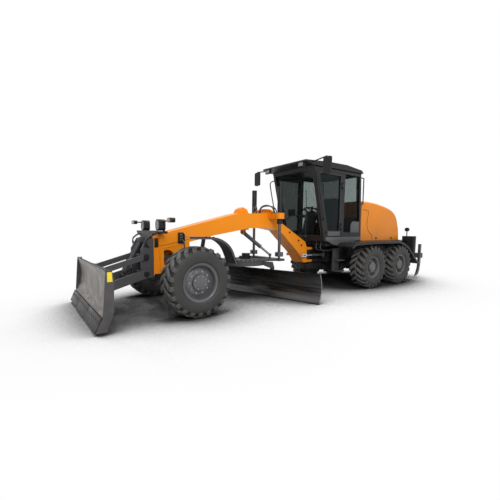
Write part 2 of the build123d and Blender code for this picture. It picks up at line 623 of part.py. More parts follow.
with BuildPart() as dozer_blade:
    with BuildSketch(Plane.XZ.offset(-DOZER_HALF)) as profile:
        with BuildLine():
            face = Spline(
                (AX + 1480, DOZER_TOP), (AX + 1430, 740), (AX + 1420, 560), (AX + 1450, 380),
                (AX + 1530, 240), (AX + FRONT_OVERHANG, DOZER_CLEAR),
            )
            back = Spline(
                (AX + 1450, DOZER_TOP), (AX + 1405, 750), (AX + 1395, 560), (AX + 1425, 370),
                (AX + 1505, 225), (AX + FRONT_OVERHANG - 30, DOZER_CLEAR),
            )
            Line(face @ 0, back @ 0)
            Line(face @ 1, back @ 1)
        make_face()
    extrude(profile.sketch, amount=2 * DOZER_HALF)
    for sign in SIDES.values():
        cheek = sorted((sign * (DOZER_HALF - 25), sign * DOZER_HALF))
        slab([
            (AX + 1480, DOZER_TOP), (AX + 1530, 240), (AX + FRONT_OVERHANG, DOZER_CLEAR),
            (AX + 1480, DOZER_CLEAR),
            (AX + 1385, 300), (AX + 1370, 780), (AX + 1400, DOZER_TOP),
        ], *cheek)
        for low in (LINK_OUT + 5, LINK_IN - 35):
            lug = sorted((sign * low, sign * (low + 30)))
            slab([
                (AX + 1420, 380), (AX + 1420, 860),
                (Q_HIGH[0] - 20, Q_HIGH[1] + 50), (Q_HIGH[0] - 50, Q_HIGH[1]),
                (Q_LOW[0] - 50, Q_LOW[1]), (Q_LOW[0] - 20, Q_LOW[1] - 50),
            ], *lug)
        span = sorted((sign * (LINK_IN - 35), sign * (LINK_OUT + 35)))
        for pin in (Q_LOW, Q_HIGH):
            cross_bar(*pin, *span, DOZER_PIN_R)
save(dozer_blade, "dozer_blade")


def clevis_rod(cylinder, eye, inside, rod_r, half, label):
    """A rod whose two cheeks straddle the eye's lug."""
    length = hypot(eye[0] - cylinder[0], eye[1] - cylinder[1])
    with BuildPart() as rod:
        start = along(cylinder, eye, inside)
        end = along(cylinder, eye, length - 70)
        bar((start[0], 0, start[1]), (end[0], 0, end[1]), rod_r)
        bridge = link(along(cylinder, eye, length - 85), along(cylinder, eye, length - 60), 38)
        slab(bridge, -half - 26, half + 26)
        for low in (-half - 26, half + 1):
            slab(link(along(cylinder, eye, length - 65), eye, 38), low, low + 25)
            cross_bar(*eye, low, low + 25, 38)
        for low in (-half - 36, half + 26):
            cross_bar(*eye, low, low + 10, 24)
    save(rod, label)


def barrel(cylinder, eye, length, barrel_r, rod_r, pin_r, half, label):
    """A barrel with an eye on its own pin, bored for the rod."""
    with BuildPart() as tube:
        cross_bar(*cylinder, -half, half, pin_r + 22)
        end = along(cylinder, eye, length)
        bar((cylinder[0], 0, cylinder[1]), (end[0], 0, end[1]), barrel_r)
        start = along(cylinder, eye, pin_r + 60)
        bar((start[0], 0, start[1]), (end[0], 0, end[1]), rod_r + RUN, Mode.SUBTRACT)
        for sign in SIDES.values():
            trim = sorted((sign * half, sign * (half + 100)))
            cross_bar(*cylinder, *trim, pin_r + 40, Mode.SUBTRACT)
        cross_bar(*cylinder, -half - 1, half + 1, pin_r + RUN, Mode.SUBTRACT)
    save(tube, label)


barrel(DOZER_CYL, RAM, 346, 42, 28, 25, 40, "dozer_barrel")
clevis_rod(DOZER_CYL, RAM, 278, 28, 20, "dozer_rod")

FRAME_FRONT = HORN_X - 90
AXLE_SEAT = REAR_TYRE_R + 122
# Rear frame: articulation tongue and pin, rails, cross members, deck and the tail that carries the ripper
RIP_CYL = (TAIL_X - 80, 1305)
with BuildPart() as rear_frame:
    bar((ARTIC_X, 0, TONGUE_LOW), (ARTIC_X, 0, TONGUE_HIGH), 120)
    bar((ARTIC_X, 0, FORK_LOW - 15), (ARTIC_X, 0, FORK_HIGH + 15), ARTIC_PIN_R)
    brick(FRAME_FRONT - 90, ARTIC_X, -110, 110, TONGUE_LOW, TONGUE_HIGH)
    brick(FRAME_FRONT - 90, FRAME_FRONT, -RAIL_OUT - 60, RAIL_OUT + 60, RAIL_LOW - 80, RAIL_HIGH)
    for sign in SIDES.values():
        rail = sorted((sign * RAIL_IN, sign * RAIL_OUT))
        brick(TAIL_X, FRAME_FRONT, *rail, RAIL_LOW, RAIL_HIGH)
        for x in (FRAME_FRONT - 60, RU - 4960):
            brick(x - 60, x + 60, *rail, RAIL_HIGH, CAB_FLOOR)
        for x in (RU - 5400, RU - 6300, RU - 7200):
            brick(x - 40, x + 40, *rail, RAIL_HIGH, DECK)
        brick(TX - 250, TX + 250, *rail, AXLE_SEAT, RAIL_LOW)
        for low in (EAR_Z - 75, EAR_Z + 35):
            brick(FRAME_FRONT, HORN_X, *sorted((sign * (HORN_Y - 45), sign * (HORN_Y + 45))), low, low + 40)
            bar((HORN_X, sign * HORN_Y, low), (HORN_X, sign * HORN_Y, low + 40), 45)
        bar((HORN_X, sign * HORN_Y, EAR_Z - 75), (HORN_X, sign * HORN_Y, EAR_Z + 75), 25)
    brick(TAIL_X, HOOD_FRONT, -DECK_HALF, DECK_HALF, DECK - 20, DECK)
    for y in (-400, 400):
        for low in (y - 55, y + 45):
            cross_bar(HOOD_PIN_X, HOOD_PIN_Z, low, low + 10, 20)
            brick(HOOD_PIN_X - 20, HOOD_PIN_X + 20, low, low + 10, DECK, HOOD_PIN_Z)
        cross_bar(HOOD_PIN_X, HOOD_PIN_Z, y - 55, y + 55, HOOD_PIN_R)
    for x in (RU - 5000, RU - 6900):
        brick(x - 50, x + 50, -RAIL_OUT, RAIL_OUT, RAIL_LOW + 40, RAIL_HIGH)
    brick(TAIL_X - 30, TAIL_X, -RAIL_OUT - 100, RAIL_OUT + 100, 640, 1150)
    brick(TAIL_X - 30, TAIL_X, -640, 640, 920, 1150)
    for sign in SIDES.values():
        with BuildSketch(Plane.XY.offset(800)) as corner_box:
            with Locations((TAIL_X - 82, sign * 790)):
                RectangleRounded(140, 380, 45)
        extrude(corner_box.sketch, amount=500)
    for sign in SIDES.values():
        for low in (200, 285):
            lug = sorted((sign * low, sign * (low + 30)))
            slab([(TAIL_X, 740), (TAIL_X, 900), (RIPPER_X - 45, 865), (RIPPER_X - 45, 775)], *lug)
        cross_bar(RIPPER_X, RIPPER_Z, *sorted((sign * 200, sign * 315)), 30)
        lug = sorted((sign * 45, sign * 75))
        slab([
            (TAIL_X, 1040), (TAIL_X, 1200),
            (RIP_CYL[0] + 30, RIP_CYL[1] + 35), (RIP_CYL[0] - 30, RIP_CYL[1] + 35),
            (RIP_CYL[0] - 40, RIP_CYL[1] - 20), (TAIL_X - 30, 1040),
        ], *lug)
    cross_bar(*RIP_CYL, -80, 80, 25)
    brick(TAIL_X - 120, TAIL_X, -70, 70, 645, 685)
    bar((TAIL_X - 120, 0, 645), (TAIL_X - 120, 0, 685), 70)
    bar((TAIL_X - 120, 0, 640), (TAIL_X - 120, 0, 690), HITCH_R, Mode.SUBTRACT)
save(rear_frame, "rear_frame")

# Tandem axle: housing across the machine, a case on each side and four spindles
CASE_OUT = TRACK_HALF - TYRE_WIDTH / 2 - 42.5
CASE_IN = CASE_OUT - 160
with BuildPart() as tandem_axle:
    cross_bar(TX, REAR_TYRE_R, -CASE_IN - 30, CASE_IN + 30, 120)
    with Locations((TX, 0, REAR_TYRE_R)):
        Sphere(210)
    for sign in SIDES.values():
        pad = sorted((sign * RAIL_IN, sign * RAIL_OUT))
        brick(TX - 120, TX + 120, *pad, REAR_TYRE_R, AXLE_SEAT)
        case = sorted((sign * CASE_IN, sign * CASE_OUT))
        brick(TX - TANDEM_PITCH / 2, TX + TANDEM_PITCH / 2, *case, REAR_TYRE_R - 130, REAR_TYRE_R + 130)
        for station in REAR_WHEELS.values():
            cross_bar(station, REAR_TYRE_R, *case, 150)
            reach = sorted((sign * (CASE_OUT - 10), sign * (TRACK_HALF + 58)))
            cross_bar(station, REAR_TYRE_R, *reach, SPINDLE_R)
save(tandem_axle, "tandem_axle")

with BuildPart() as engine:
    brick(RU - 7050, RU - 5500, -380, 380, DECK, 1850)
save(engine, "engine")

# Rear fenders over each tandem pair
FENDER_LINE = [
    (RU - 4000, 1085), (RU - 4160, 1160), (RU - 4840, DECK), (RU - 6120, DECK), (RU - 6380, 1120),
    (RU - 6640, 1000), (RU - 6990, 720), (RU - 7290, 515),
]
with BuildPart() as rear_fenders:
    edge = TRACK_HALF + TYRE_WIDTH / 2
    for sign in SIDES.values():
        sheet = FENDER_LINE + [(x, z - 16) for x, z in FENDER_LINE[::-1]]
        slab(sheet, *sorted((sign * DECK_HALF, sign * edge)))
        brim = FENDER_LINE + [(x, z - 62) for x, z in FENDER_LINE[::-1]]
        slab(brim, *sorted((sign * (edge + 6), sign * (edge - 6))))
save(rear_fenders, "rear_fenders")


# Cab: shell with pillars and openings, roof, glass, doors
def cab_front(z):
    """X of the cab's sloping front face at height z."""
    part = (z - CAB_FLOOR) / (CAB_EAVE - CAB_FLOOR)
    return CAB_FRONT_LOW + part * (CAB_FRONT_HIGH - CAB_FRONT_LOW)


def cab_rear(z):
    part = (z - CAB_FLOOR) / (CAB_EAVE - CAB_FLOOR)
    return CAB_REAR_LOW + part * (CAB_REAR_HIGH - CAB_REAR_LOW)


def cab_quad(front_in, rear_x, low, high):
    """A side-view outline between the sloping front, set in, and a straight or sloping rear."""
    front = [(cab_front(low) - front_in, low), (cab_front(high) - front_in, high)]
    return front + [(rear_x(high), high), (rear_x(low), low)]


def rear_set(inset):
    return lambda z: cab_rear(z) + inset


def post(x):
    return lambda z: x


WINDOW_LOW = 1330
REAR_WINDOW_LOW = 1800
SIDE_WINDOW_LOW = 1400
DOOR_FRAME = 70
SIDE_LIGHT = [
    (cab_rear(DOOR_HIGH) + 80, DOOR_HIGH), (cab_rear(SIDE_WINDOW_LOW) + 80, SIDE_WINDOW_LOW),
    (B_POST - 90, SIDE_WINDOW_LOW), (B_POST - 90, DOOR_HIGH),
]


def rear_pane(low_inset, high_inset):
    low, high = REAR_WINDOW_LOW, DOOR_HIGH
    outside = [(cab_rear(low) + low_inset, low), (cab_rear(high) + low_inset, high)]
    return outside + [(cab_rear(high) + high_inset, high), (cab_rear(low) + high_inset, low)]


with BuildPart() as cab_shell:
    slab(cab_quad(0, cab_rear, CAB_FLOOR, CAB_EAVE), -CAB_HALF, CAB_HALF)
    fillet(cab_shell.edges().filter_by(lambda e: e.length > 1700 and abs(e.center().Y) > CAB_HALF - 1), 34)
    inside = cab_quad(CAB_WALL, rear_set(CAB_WALL), CAB_FLOOR + 50, CAB_EAVE)
    slab(inside, -CAB_HALF + CAB_WALL, CAB_HALF - CAB_WALL, Mode.SUBTRACT)
    slab(cab_quad(85, post(B_POST), DOOR_LOW, DOOR_HIGH), -CAB_HALF, CAB_HALF, Mode.SUBTRACT)
    slab(SIDE_LIGHT, -CAB_HALF, CAB_HALF, Mode.SUBTRACT)
    windscreen = cab_quad(-5, lambda z: cab_front(z) - CAB_WALL - 5, WINDOW_LOW, DOOR_HIGH)
    slab(windscreen, -CAB_HALF + 80, CAB_HALF - 80, Mode.SUBTRACT)
    slab(rear_pane(-5, 60), -CAB_HALF + 120, CAB_HALF - 120, Mode.SUBTRACT)
    for sign in SIDES.values():
        skirt = sorted((sign * (CAB_HALF - 40), sign * CAB_HALF))
        slab([(RU - 3720, CAB_FLOOR), (RU - 4820, CAB_FLOOR), (RU - 4820, 1020), (RU - 3960, 1100)], *skirt)
        for z in (DOOR_LOW + 250, DOOR_HIGH - 300):
            hinge = sorted((sign * (CAB_HALF - 10), sign * (CAB_HALF + 30)))
            for low in (z - 75, z + 45):
                brick(B_POST - 60, B_POST - 2, *hinge, low, low + 30)
                knuckle_width = sorted((sign * CAB_HALF, sign * (CAB_HALF + 30)))
                brick(B_POST - 10, B_POST + 12, *knuckle_width, low, low + 30)
            bar((B_POST, sign * (CAB_HALF + 15), z - 75), (B_POST, sign * (CAB_HALF + 15), z + 75), 8)
save(cab_shell, "cab_shell")

ROOF = [
    (RU - 2880, 2985), (RU - 2900, 3020), (RU - 3700, 3065), (RU - 4400, 3070), (RU - 5000, 3010),
    (RU - 5090, CAB_EAVE), (RU - 3170, CAB_EAVE),
]
with BuildPart() as cab_roof:
    slab(ROOF, -CAB_HALF - 20, CAB_HALF + 20)
    rims = cab_roof.edges().filter_by(lambda e: abs(e.center().Y) > CAB_HALF and e.center().Z > 3008)
    fillet(rims, 18)
save(cab_roof, "cab_roof")

with BuildPart() as cab_glass:
    mid = CAB_WALL / 2
    screen = cab_quad(mid - GLASS / 2, lambda z: cab_front(z) - mid - GLASS / 2, WINDOW_LOW, DOOR_HIGH)
    slab(screen, -CAB_HALF + 80, CAB_HALF - 80)
    slab(rear_pane(mid - GLASS / 2, mid + GLASS / 2), -CAB_HALF + 120, CAB_HALF - 120)
    for sign in SIDES.values():
        pane = sorted((sign * (CAB_HALF - mid - GLASS / 2), sign * (CAB_HALF - mid + GLASS / 2)))
        slab(SIDE_LIGHT, *pane)
save(cab_glass, "cab_glass")


def door(name, sign):
    outline = cab_quad(85 + DOOR_GAP, post(B_POST + DOOR_GAP), DOOR_LOW + DOOR_GAP, DOOR_HIGH - DOOR_GAP)
    sill, head = DOOR_LOW + 2 * DOOR_FRAME, DOOR_HIGH - DOOR_FRAME
    light = cab_quad(85 + DOOR_FRAME, post(B_POST + DOOR_FRAME), sill, head)
    hinge_y = sign * (CAB_HALF + 15)
    wall = sorted((sign * (CAB_HALF - CAB_WALL), sign * CAB_HALF))
    with BuildPart() as leaf:
        slab(outline, *wall)
        slab(light, *wall, Mode.SUBTRACT)
        grip = sorted((sign * CAB_HALF, sign * (CAB_HALF + 35)))
        brick(cab_front(1600) - 180, cab_front(1600) - 120, *grip, 1385, 1425)
        for z in (DOOR_LOW + 250, DOOR_HIGH - 300):
            hinge = sorted((sign * (CAB_HALF - 10), sign * (CAB_HALF + 30)))
            brick(B_POST, B_POST + 60, *hinge, z - 40, z + 40)
            bar((B_POST, hinge_y, z - 40), (B_POST, hinge_y, z + 40), 15)
            bar((B_POST, hinge_y, z - 40), (B_POST, hinge_y, z + 40), 8 + RUN, Mode.SUBTRACT)
            room = sorted((sign * (CAB_HALF - 20), sign * CAB_HALF))
            brick(B_POST - 30, B_POST + 28, *room, z - 80, z + 80, Mode.SUBTRACT)
    save(leaf, f"door_{name}")
    with BuildPart() as pane:
        middle = CAB_HALF - CAB_WALL / 2
        slab(light, *sorted((sign * (middle - GLASS / 2), sign * (middle + GLASS / 2))))
    save(pane, f"door_glass_{name}")


for name, sign in SIDES.items():
    door(name, sign)

SEAT_X = RU - 4450
with BuildPart() as seat:
    brick(SEAT_X - 200, SEAT_X + 200, -180, 180, CAB_FLOOR + 50, CAB_FLOOR + 330)
    brick(SEAT_X - 260, SEAT_X + 260, -250, 250, CAB_FLOOR + 330, CAB_FLOOR + 470)
    slab([
        (SEAT_X - 260, CAB_FLOOR + 400), (SEAT_X - 130, CAB_FLOOR + 470),
        (SEAT_X - 230, CAB_FLOOR + 1150), (SEAT_X - 330, CAB_FLOOR + 1150),
    ], -240, 240)
save(seat, "seat")

with BuildPart() as console:
    column = (RU - 3780, CAB_FLOOR + 50)
    head = (RU - 3930, CAB_FLOOR + 760)
    slab([
        (column[0] - 90, column[1]), (column[0] + 90, column[1]),
        (head[0] + 50, head[1]), (head[0] - 60, head[1] - 40),
    ], -110, 110)
    with Locations(Plane(origin=(head[0] - 30, 0, head[1] + 25), z_dir=(-0.35, 0, 1))):
        Torus(190, 16)
        Cylinder(30, 200)
        Box(380, 30, 14)
save(console, "console")

# Hood: a shell hinged along its rear lower edge
def hood_body(inset, round_r):
    """The hood's swept form between its sides, set in all round, with rounded top edges."""
    half = HOOD_HALF - inset
    with BuildPart() as body:
        with BuildSketch(Plane.XZ.offset(-half)):
            with BuildLine():
                crown = Spline(
                    (HOOD_FRONT - inset, 2250 - inset), (RU - 5880, 2230 - inset), (RU - 6290, 2180 - inset),
                    (RU - 6730, 2085 - inset), (RU - 7000 + inset / 2, 1955 - inset),
                    (RU - 7160 + inset, 1730),
                    (HOOD_REAR + inset, HOOD_LOW),
                )
                Polyline(crown @ 1, (HOOD_FRONT - inset, HOOD_LOW), crown @ 0)
            make_face()
        extrude(amount=2 * half)
        fillet(body.edges().filter_by(GeomType.BSPLINE), round_r)
    return body.part


with BuildPart() as hood:
    add(hood_body(0, 64))
    add(hood_body(HOOD_WALL, 48), mode=Mode.SUBTRACT)
    for n in range(GRILLE_SLOTS):
        z = 1330 + 48 * n
        brick(HOOD_REAR - 20, HOOD_REAR + 190, -380, 380, z, z + 24, Mode.SUBTRACT)
    for y in (-400, 400):
        brick(HOOD_PIN_X, HOOD_REAR + 12, y - 40, y + 40, HOOD_PIN_Z - 8, HOOD_PIN_Z + 8)
        cross_bar(HOOD_PIN_X, HOOD_PIN_Z, y - 40, y + 40, 22)
        cross_bar(HOOD_PIN_X, HOOD_PIN_Z, y - 41, y + 41, HOOD_PIN_R + RUN, Mode.SUBTRACT)
save(hood, "hood")

# Steps, rails, mirrors and lamps of the rear unit
with BuildPart() as steps:
    for sign in SIDES.values():
        inner = sorted((sign * RAIL_OUT, sign * 620))
        tread = sorted((sign * 600, sign * 790))
        brick(RU - 4330, FRAME_FRONT - 92, *inner, 920, 1000)
        brick(RU - 4330, RU - 4100, *sorted((sign * 580, sign * 620)), 430, 1000)
        for z in (430, 700):
            brick(RU - 4330, RU - 4100, *tread, z, z + 30)
save(steps, "steps")

with BuildPart() as handrails:
    for sign in SIDES.values():
        y = sign * 655
        top, low = (RU - 5205, y, 2830), (RU - 5212, y, 2160)
        bar((cab_rear(2830) - 1, y, 2830), top, 14)
        bar(top, low, 14)
        bar(low, (cab_rear(2160) - 1, y, 2160), 14)
        for corner in (top, low):
            with Locations(corner):
                Sphere(14)
        root = (RU - 3150, sign * 700, 3000)
        elbow = (RU - 3060, sign * 1150, 3025)
        bar(root, elbow, 14)
        bar(elbow, (RU - 3060, sign * 1150, 2650), 12)
        with BuildSketch(Plane.YZ.offset(RU - 3090)) as mirror:
            with Locations((sign * 1160, 2840)):
                RectangleRounded(200, 350, 40)
        extrude(mirror.sketch, amount=40)
    slab(ROOF, -CAB_HALF - 20, CAB_HALF + 20, Mode.SUBTRACT)
save(handrails, "rails_and_mirrors")

with BuildPart() as lamps_rear:
    for sign in SIDES.values():
        y = sign * 720
        bar((TAIL_X - 80, y, 1300.3), (TAIL_X - 80, y, 1450), 14)
        bar((TAIL_X - 115, y, 1500), (TAIL_X - 45, y, 1500), 58)
        brick(RU - 2960, RU - 2900, *sorted((sign * 480, sign * 640)), 2880, 2985)
    slab(ROOF, -CAB_HALF - 20, CAB_HALF + 20, Mode.SUBTRACT)
save(lamps_rear, "lamps_rear")

# Headlamps and indicators on a bar over the nose
with BuildPart() as headlamps:
    brick(AX + 250, AX + 310, -420, 420, 1376, 1420)
    brick(AX + 230, AX + 312, -150, 150, 1360, 1400)
    slab(NECK, -NECK_HALF, NECK_HALF, Mode.SUBTRACT)
    for sign in SIDES.values():
        y = sign * 385
        bar((AX + 285, y, 1400), (AX + 330, y, 1460), 16)
        with BuildSketch(Plane.YZ.offset(AX + 302)) as lamp:
            with Locations((y, 1525)):
                RectangleRounded(150, 198, 55)
        extrude(lamp.sketch, amount=120)
        bar((AX + 340, sign * 440, 1585), (AX + 400, sign * 880, 1597), 13)
        with BuildSketch(Plane.YZ.offset(AX + 375)) as flasher:
            with Locations((sign * 940, 1597)):
                RectangleRounded(178, 76, 32)
        extrude(flasher.sketch, amount=68)
save(headlamps, "headlamps")

# Ripper: hinged frame, shanks in its beam, and the cylinder that holds it
RIP_TUBE = along((RIPPER_X, RIPPER_Z), (RIPPER_BEAM_X, 700), 160)
RIP_EYE = (RIP_TUBE[0], RIP_TUBE[1] + 100)
with BuildPart() as ripper_frame:
    for sign in SIDES.values():
        arm = sorted((sign * 235, sign * 280))
        slab(link((RIPPER_X, RIPPER_Z), (RIPPER_BEAM_X, 700), 55), *arm)
        cross_bar(RIPPER_X, RIPPER_Z, *arm, 60)
        cross_bar(RIPPER_X, RIPPER_Z, *sorted((sign * 230, sign * 285)), 30 + RUN, Mode.SUBTRACT)
    brick(RIPPER_BEAM_X - 100, RIPPER_BEAM_X + 80, -RIPPER_HALF, RIPPER_HALF, 620, 770)
    cross_bar(*RIP_TUBE, -260, 260, 36)
    slab(link(RIP_TUBE, RIP_EYE, 34), -20, 20)
    cross_bar(*RIP_EYE, -20, 20, 35)
    for n in range(SHANKS):
        y = -RIPPER_HALF + 60 + n * (2 * RIPPER_HALF - 120) / (SHANKS - 1)
        brick(RIPPER_BEAM_X - 60, RIPPER_BEAM_X + 30, y - 30, y + 30, 620, 770, Mode.SUBTRACT)
save(ripper_frame, "ripper_frame")

with BuildPart() as ripper_shanks:
    for n in range(SHANKS):
        y = -RIPPER_HALF + 60 + n * (2 * RIPPER_HALF - 120) / (SHANKS - 1)
        front = RIPPER_BEAM_X + 30
        back = RIPPER_BEAM_X - 60
        slab([
            (back, 1050), (front, 1050), (front, 520), (front + 10, 330), (front + 100, 130),
            (front + 160, RIPPER_TIP), (back + 120, 110), (back + 40, 240), (back, 460),
        ], y - 30, y + 30)
save(ripper_shanks, "ripper_shanks")

barrel(RIP_CYL, RIP_EYE, 272, 42, 28, 25, 40, "ripper_barrel")
clevis_rod(RIP_CYL, RIP_EYE, 190, 28, 20, "ripper_rod")


# Articulation cylinders lie level beside the tongue
def artic(name, sign):
    rear = (HORN_X, sign * HORN_Y)
    front = (EAR_X, sign * EAR_Y)
    length = hypot(front[0] - rear[0], front[1] - rear[1])
    z = EAR_Z

    def at(distance, side=0):
        x, y = along(rear, front, distance, side)
        return (x, y, z)

    def flat(start, end, half, low, high):
        with BuildSketch(Plane.XY.offset(low)) as outline:
            Polygon(*ccw(link(along(rear, front, start), along(rear, front, end), half)), align=None)
        extrude(outline.sketch, amount=high - low)

    with BuildPart() as tube:
        bar((rear[0], rear[1], 801), (rear[0], rear[1], 869), 45)
        bar(at(20), at(385), 34)
        bar(at(65), at(386), 20 + RUN, Mode.SUBTRACT)
        bar((rear[0], rear[1], 790), (rear[0], rear[1], 880), 25 + RUN, Mode.SUBTRACT)
    save(tube, f"artic_barrel_{name}")
    with BuildPart() as rod:
        bar(at(234), at(length - 95), 20)
        flat(length - 110, length - 80, 34, 799, 871)
        for low in (799, 851):
            flat(length - 95, length, 34, low, low + 20)
            bar((front[0], front[1], low), (front[0], front[1], low + 20), 34)
    save(rod, f"artic_rod_{name}")


for name, sign in SIDES.items():
    artic(name, sign)
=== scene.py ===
# %% [markdown]
# # Dressing a motor grader
# The solids of this machine come from a CAD model that is already packed as a frame of named bodies and
# joints. This lesson loads that frame, puts a camera where the photographer stood, gives each solid a
# painted, rubber, steel or glass finish, and then adds the small things that make a working machine look
# real: bolts, seams, lamps, hoses, a padded seat and the controls in the cab.

# %% Load the frame
import json
from math import cos, exp, hypot, pi, radians, sin
import bmesh
import bpy
from mathutils import Matrix, Vector


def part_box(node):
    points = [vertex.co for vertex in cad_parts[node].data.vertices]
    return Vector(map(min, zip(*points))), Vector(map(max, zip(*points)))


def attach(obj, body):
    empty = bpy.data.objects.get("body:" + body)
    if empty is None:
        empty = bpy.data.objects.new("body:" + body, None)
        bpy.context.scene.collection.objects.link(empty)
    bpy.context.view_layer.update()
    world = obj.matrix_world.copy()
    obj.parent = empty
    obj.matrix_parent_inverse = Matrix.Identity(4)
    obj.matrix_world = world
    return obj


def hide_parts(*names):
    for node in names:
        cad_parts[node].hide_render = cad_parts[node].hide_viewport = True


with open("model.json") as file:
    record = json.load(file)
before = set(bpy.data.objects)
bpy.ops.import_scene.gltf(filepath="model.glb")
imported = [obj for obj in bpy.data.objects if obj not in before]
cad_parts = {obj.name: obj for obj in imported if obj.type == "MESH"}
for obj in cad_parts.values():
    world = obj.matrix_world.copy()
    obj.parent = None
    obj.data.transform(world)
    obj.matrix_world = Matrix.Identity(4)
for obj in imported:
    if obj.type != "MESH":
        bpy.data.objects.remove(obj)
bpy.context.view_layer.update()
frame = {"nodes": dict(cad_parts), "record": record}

solids = frame["nodes"]

# %% [markdown]
# ## First helpers
# Two steps come back for every new thing. A finished mesh is stored as mesh data, and an object that holds
# the data is linked into the scene.

# %% First helpers
def mesh_of(bm, name):
    """Mesh data from a mesh under construction, which is then let go."""
    mesh = bpy.data.meshes.new(name)
    bm.to_mesh(mesh)
    bm.free()
    return mesh


def put(name, data):
    """A new object in the scene that holds the data."""
    made = bpy.data.objects.new(name, data)
    bpy.context.scene.collection.objects.link(made)
    return made


print("helpers for meshes and objects are ready")

# %% [markdown]
# ## Camera
# The photograph is a wide view from the front left, at chest height. A camera could be placed by eye, but
# then nothing would line up. Fitting the six wheel centres, the blade corners and the cab posts to the
# picture gave a short lens, a place about five metres from the front wheel, and a small shift, because the
# machine does not sit in the middle of the frame.

# %% Camera
IMAGE = 500
SENSOR_MM = 36
FOCAL_PX = 306.92
CENTRE_PX = (227.51, 258.37)
EYE = Vector((5.631, 5.502, 1.439))
YAW, PITCH, ROLL = 0.5943, -0.0908, 0.0061

forward = Vector((-sin(YAW) * cos(PITCH), -cos(YAW) * cos(PITCH), sin(PITCH)))
level = Vector((-cos(YAW), sin(YAW), 0))
right = level * cos(ROLL) + level.cross(forward) * sin(ROLL)
up = right.cross(forward)
lens = bpy.data.cameras.new("photographer")
lens.sensor_width = SENSOR_MM
lens.lens = SENSOR_MM * FOCAL_PX / IMAGE
lens.shift_x = (IMAGE / 2 - CENTRE_PX[0]) / IMAGE
lens.shift_y = (CENTRE_PX[1] - IMAGE / 2) / IMAGE
photographer = put("photographer", lens)
turn = Matrix((right, up, -forward)).transposed().to_4x4()
photographer.matrix_world = Matrix.Translation(EYE) @ turn
bpy.context.scene.camera = photographer
bpy.context.scene.view_settings.view_transform = "Standard"
print("lens", round(lens.lens, 2), "mm, shift", round(lens.shift_x, 4), round(lens.shift_y, 4))

# %% [markdown]
# ## Node helpers
# Every material is a small network of nodes. Three helpers keep such a network readable: one makes the
# nodes, one sets their values, and one joins them by a plan that reads from left to right.

# %% Node helpers
def add_nodes(tree, prefix, **kinds):
    """Make several nodes in one go: name = node type without its prefix."""
    return {label: tree.nodes.new(prefix + kind) for label, kind in kinds.items()}


def set_values(nodes, **wanted):
    """Set input sockets of several nodes: name = {socket: value}."""
    for label, sockets in wanted.items():
        for socket, value in sockets.items():
            nodes[label].inputs[socket].default_value = value


def wire(tree, nodes, plan):
    """Join sockets by a plan, one "node.Output > node.Input" on each line. A number is a socket's place."""
    for line in plan.strip().splitlines():
        (source, leaving), (target, entering) = [end.strip().split(".") for end in line.split(">")]
        leaving, entering = [int(key) if key.isdigit() else key for key in (leaving, entering)]
        tree.links.new(nodes[source].outputs[leaving], nodes[target].inputs[entering])


def blank_material(name):
    """A new material with an empty node tree."""
    made = bpy.data.materials.new(name)
    made.use_nodes = True
    made.node_tree.nodes.clear()
    return made


print("helpers for nodes are ready")

# %% [markdown]
# ## White world
# The picture has a plain white background. A white world that also lights the scene would make the paint
# look flat. So a Light Path node keeps the world white where the camera, a mirror surface or glass looks
# straight at it, and makes it much dimmer as a light.

# %% White world
WHITE = (1, 1, 1, 1)
world = bpy.data.worlds.new("studio")
bpy.context.scene.world = world
world.use_nodes = True
sky = world.node_tree
sky.nodes.clear()
n = add_nodes(sky, "ShaderNode", path="LightPath", seen="Math", mirrored="Math", dim="Background",
              white="Background", mix="MixShader", out="OutputWorld")
n["seen"].operation = n["mirrored"].operation = "MAXIMUM"
set_values(n, dim={"Color": (0.93, 0.96, 1.0, 1), "Strength": 0.22}, white={"Color": WHITE, "Strength": 1.0})
wire(sky, n, """
    path.Is Camera Ray > seen.0
    path.Is Transmission Ray > seen.1
    seen.0 > mirrored.0
    path.Is Glossy Ray > mirrored.1
    mirrored.0 > mix.Fac
    dim.0 > mix.1
    white.0 > mix.2
    mix.0 > out.Surface
""")
print("world:", world.name, "with", len(sky.nodes), "nodes")

# %% [markdown]
# ## Lamps
# The picture has soft light from above and from the left. Small lamps would draw hard edges of shade that
# the picture lacks, so two large round area lamps give the paint its shape.

# %% Lamps
def soft_lamp(name, place, aim, size, power):
    """A round area lamp at a place, turned towards its aim."""
    light = bpy.data.lights.new(name, "AREA")
    light.shape = "DISK"
    light.size = size
    light.energy = power
    lamp = put(name, light)
    lamp.location = place
    lamp.rotation_euler = (Vector(aim) - Vector(place)).to_track_quat("-Z", "Y").to_euler()


soft_lamp("overhead", (0.5, 1.0, 9.0), (0, 0, 0), 7.0, 640)
soft_lamp("from_the_left", (5.5, 9.5, 6.5), (-0.5, 0, 1.0), 5.0, 760)
print("lamps:", [light.name for light in bpy.data.lights])
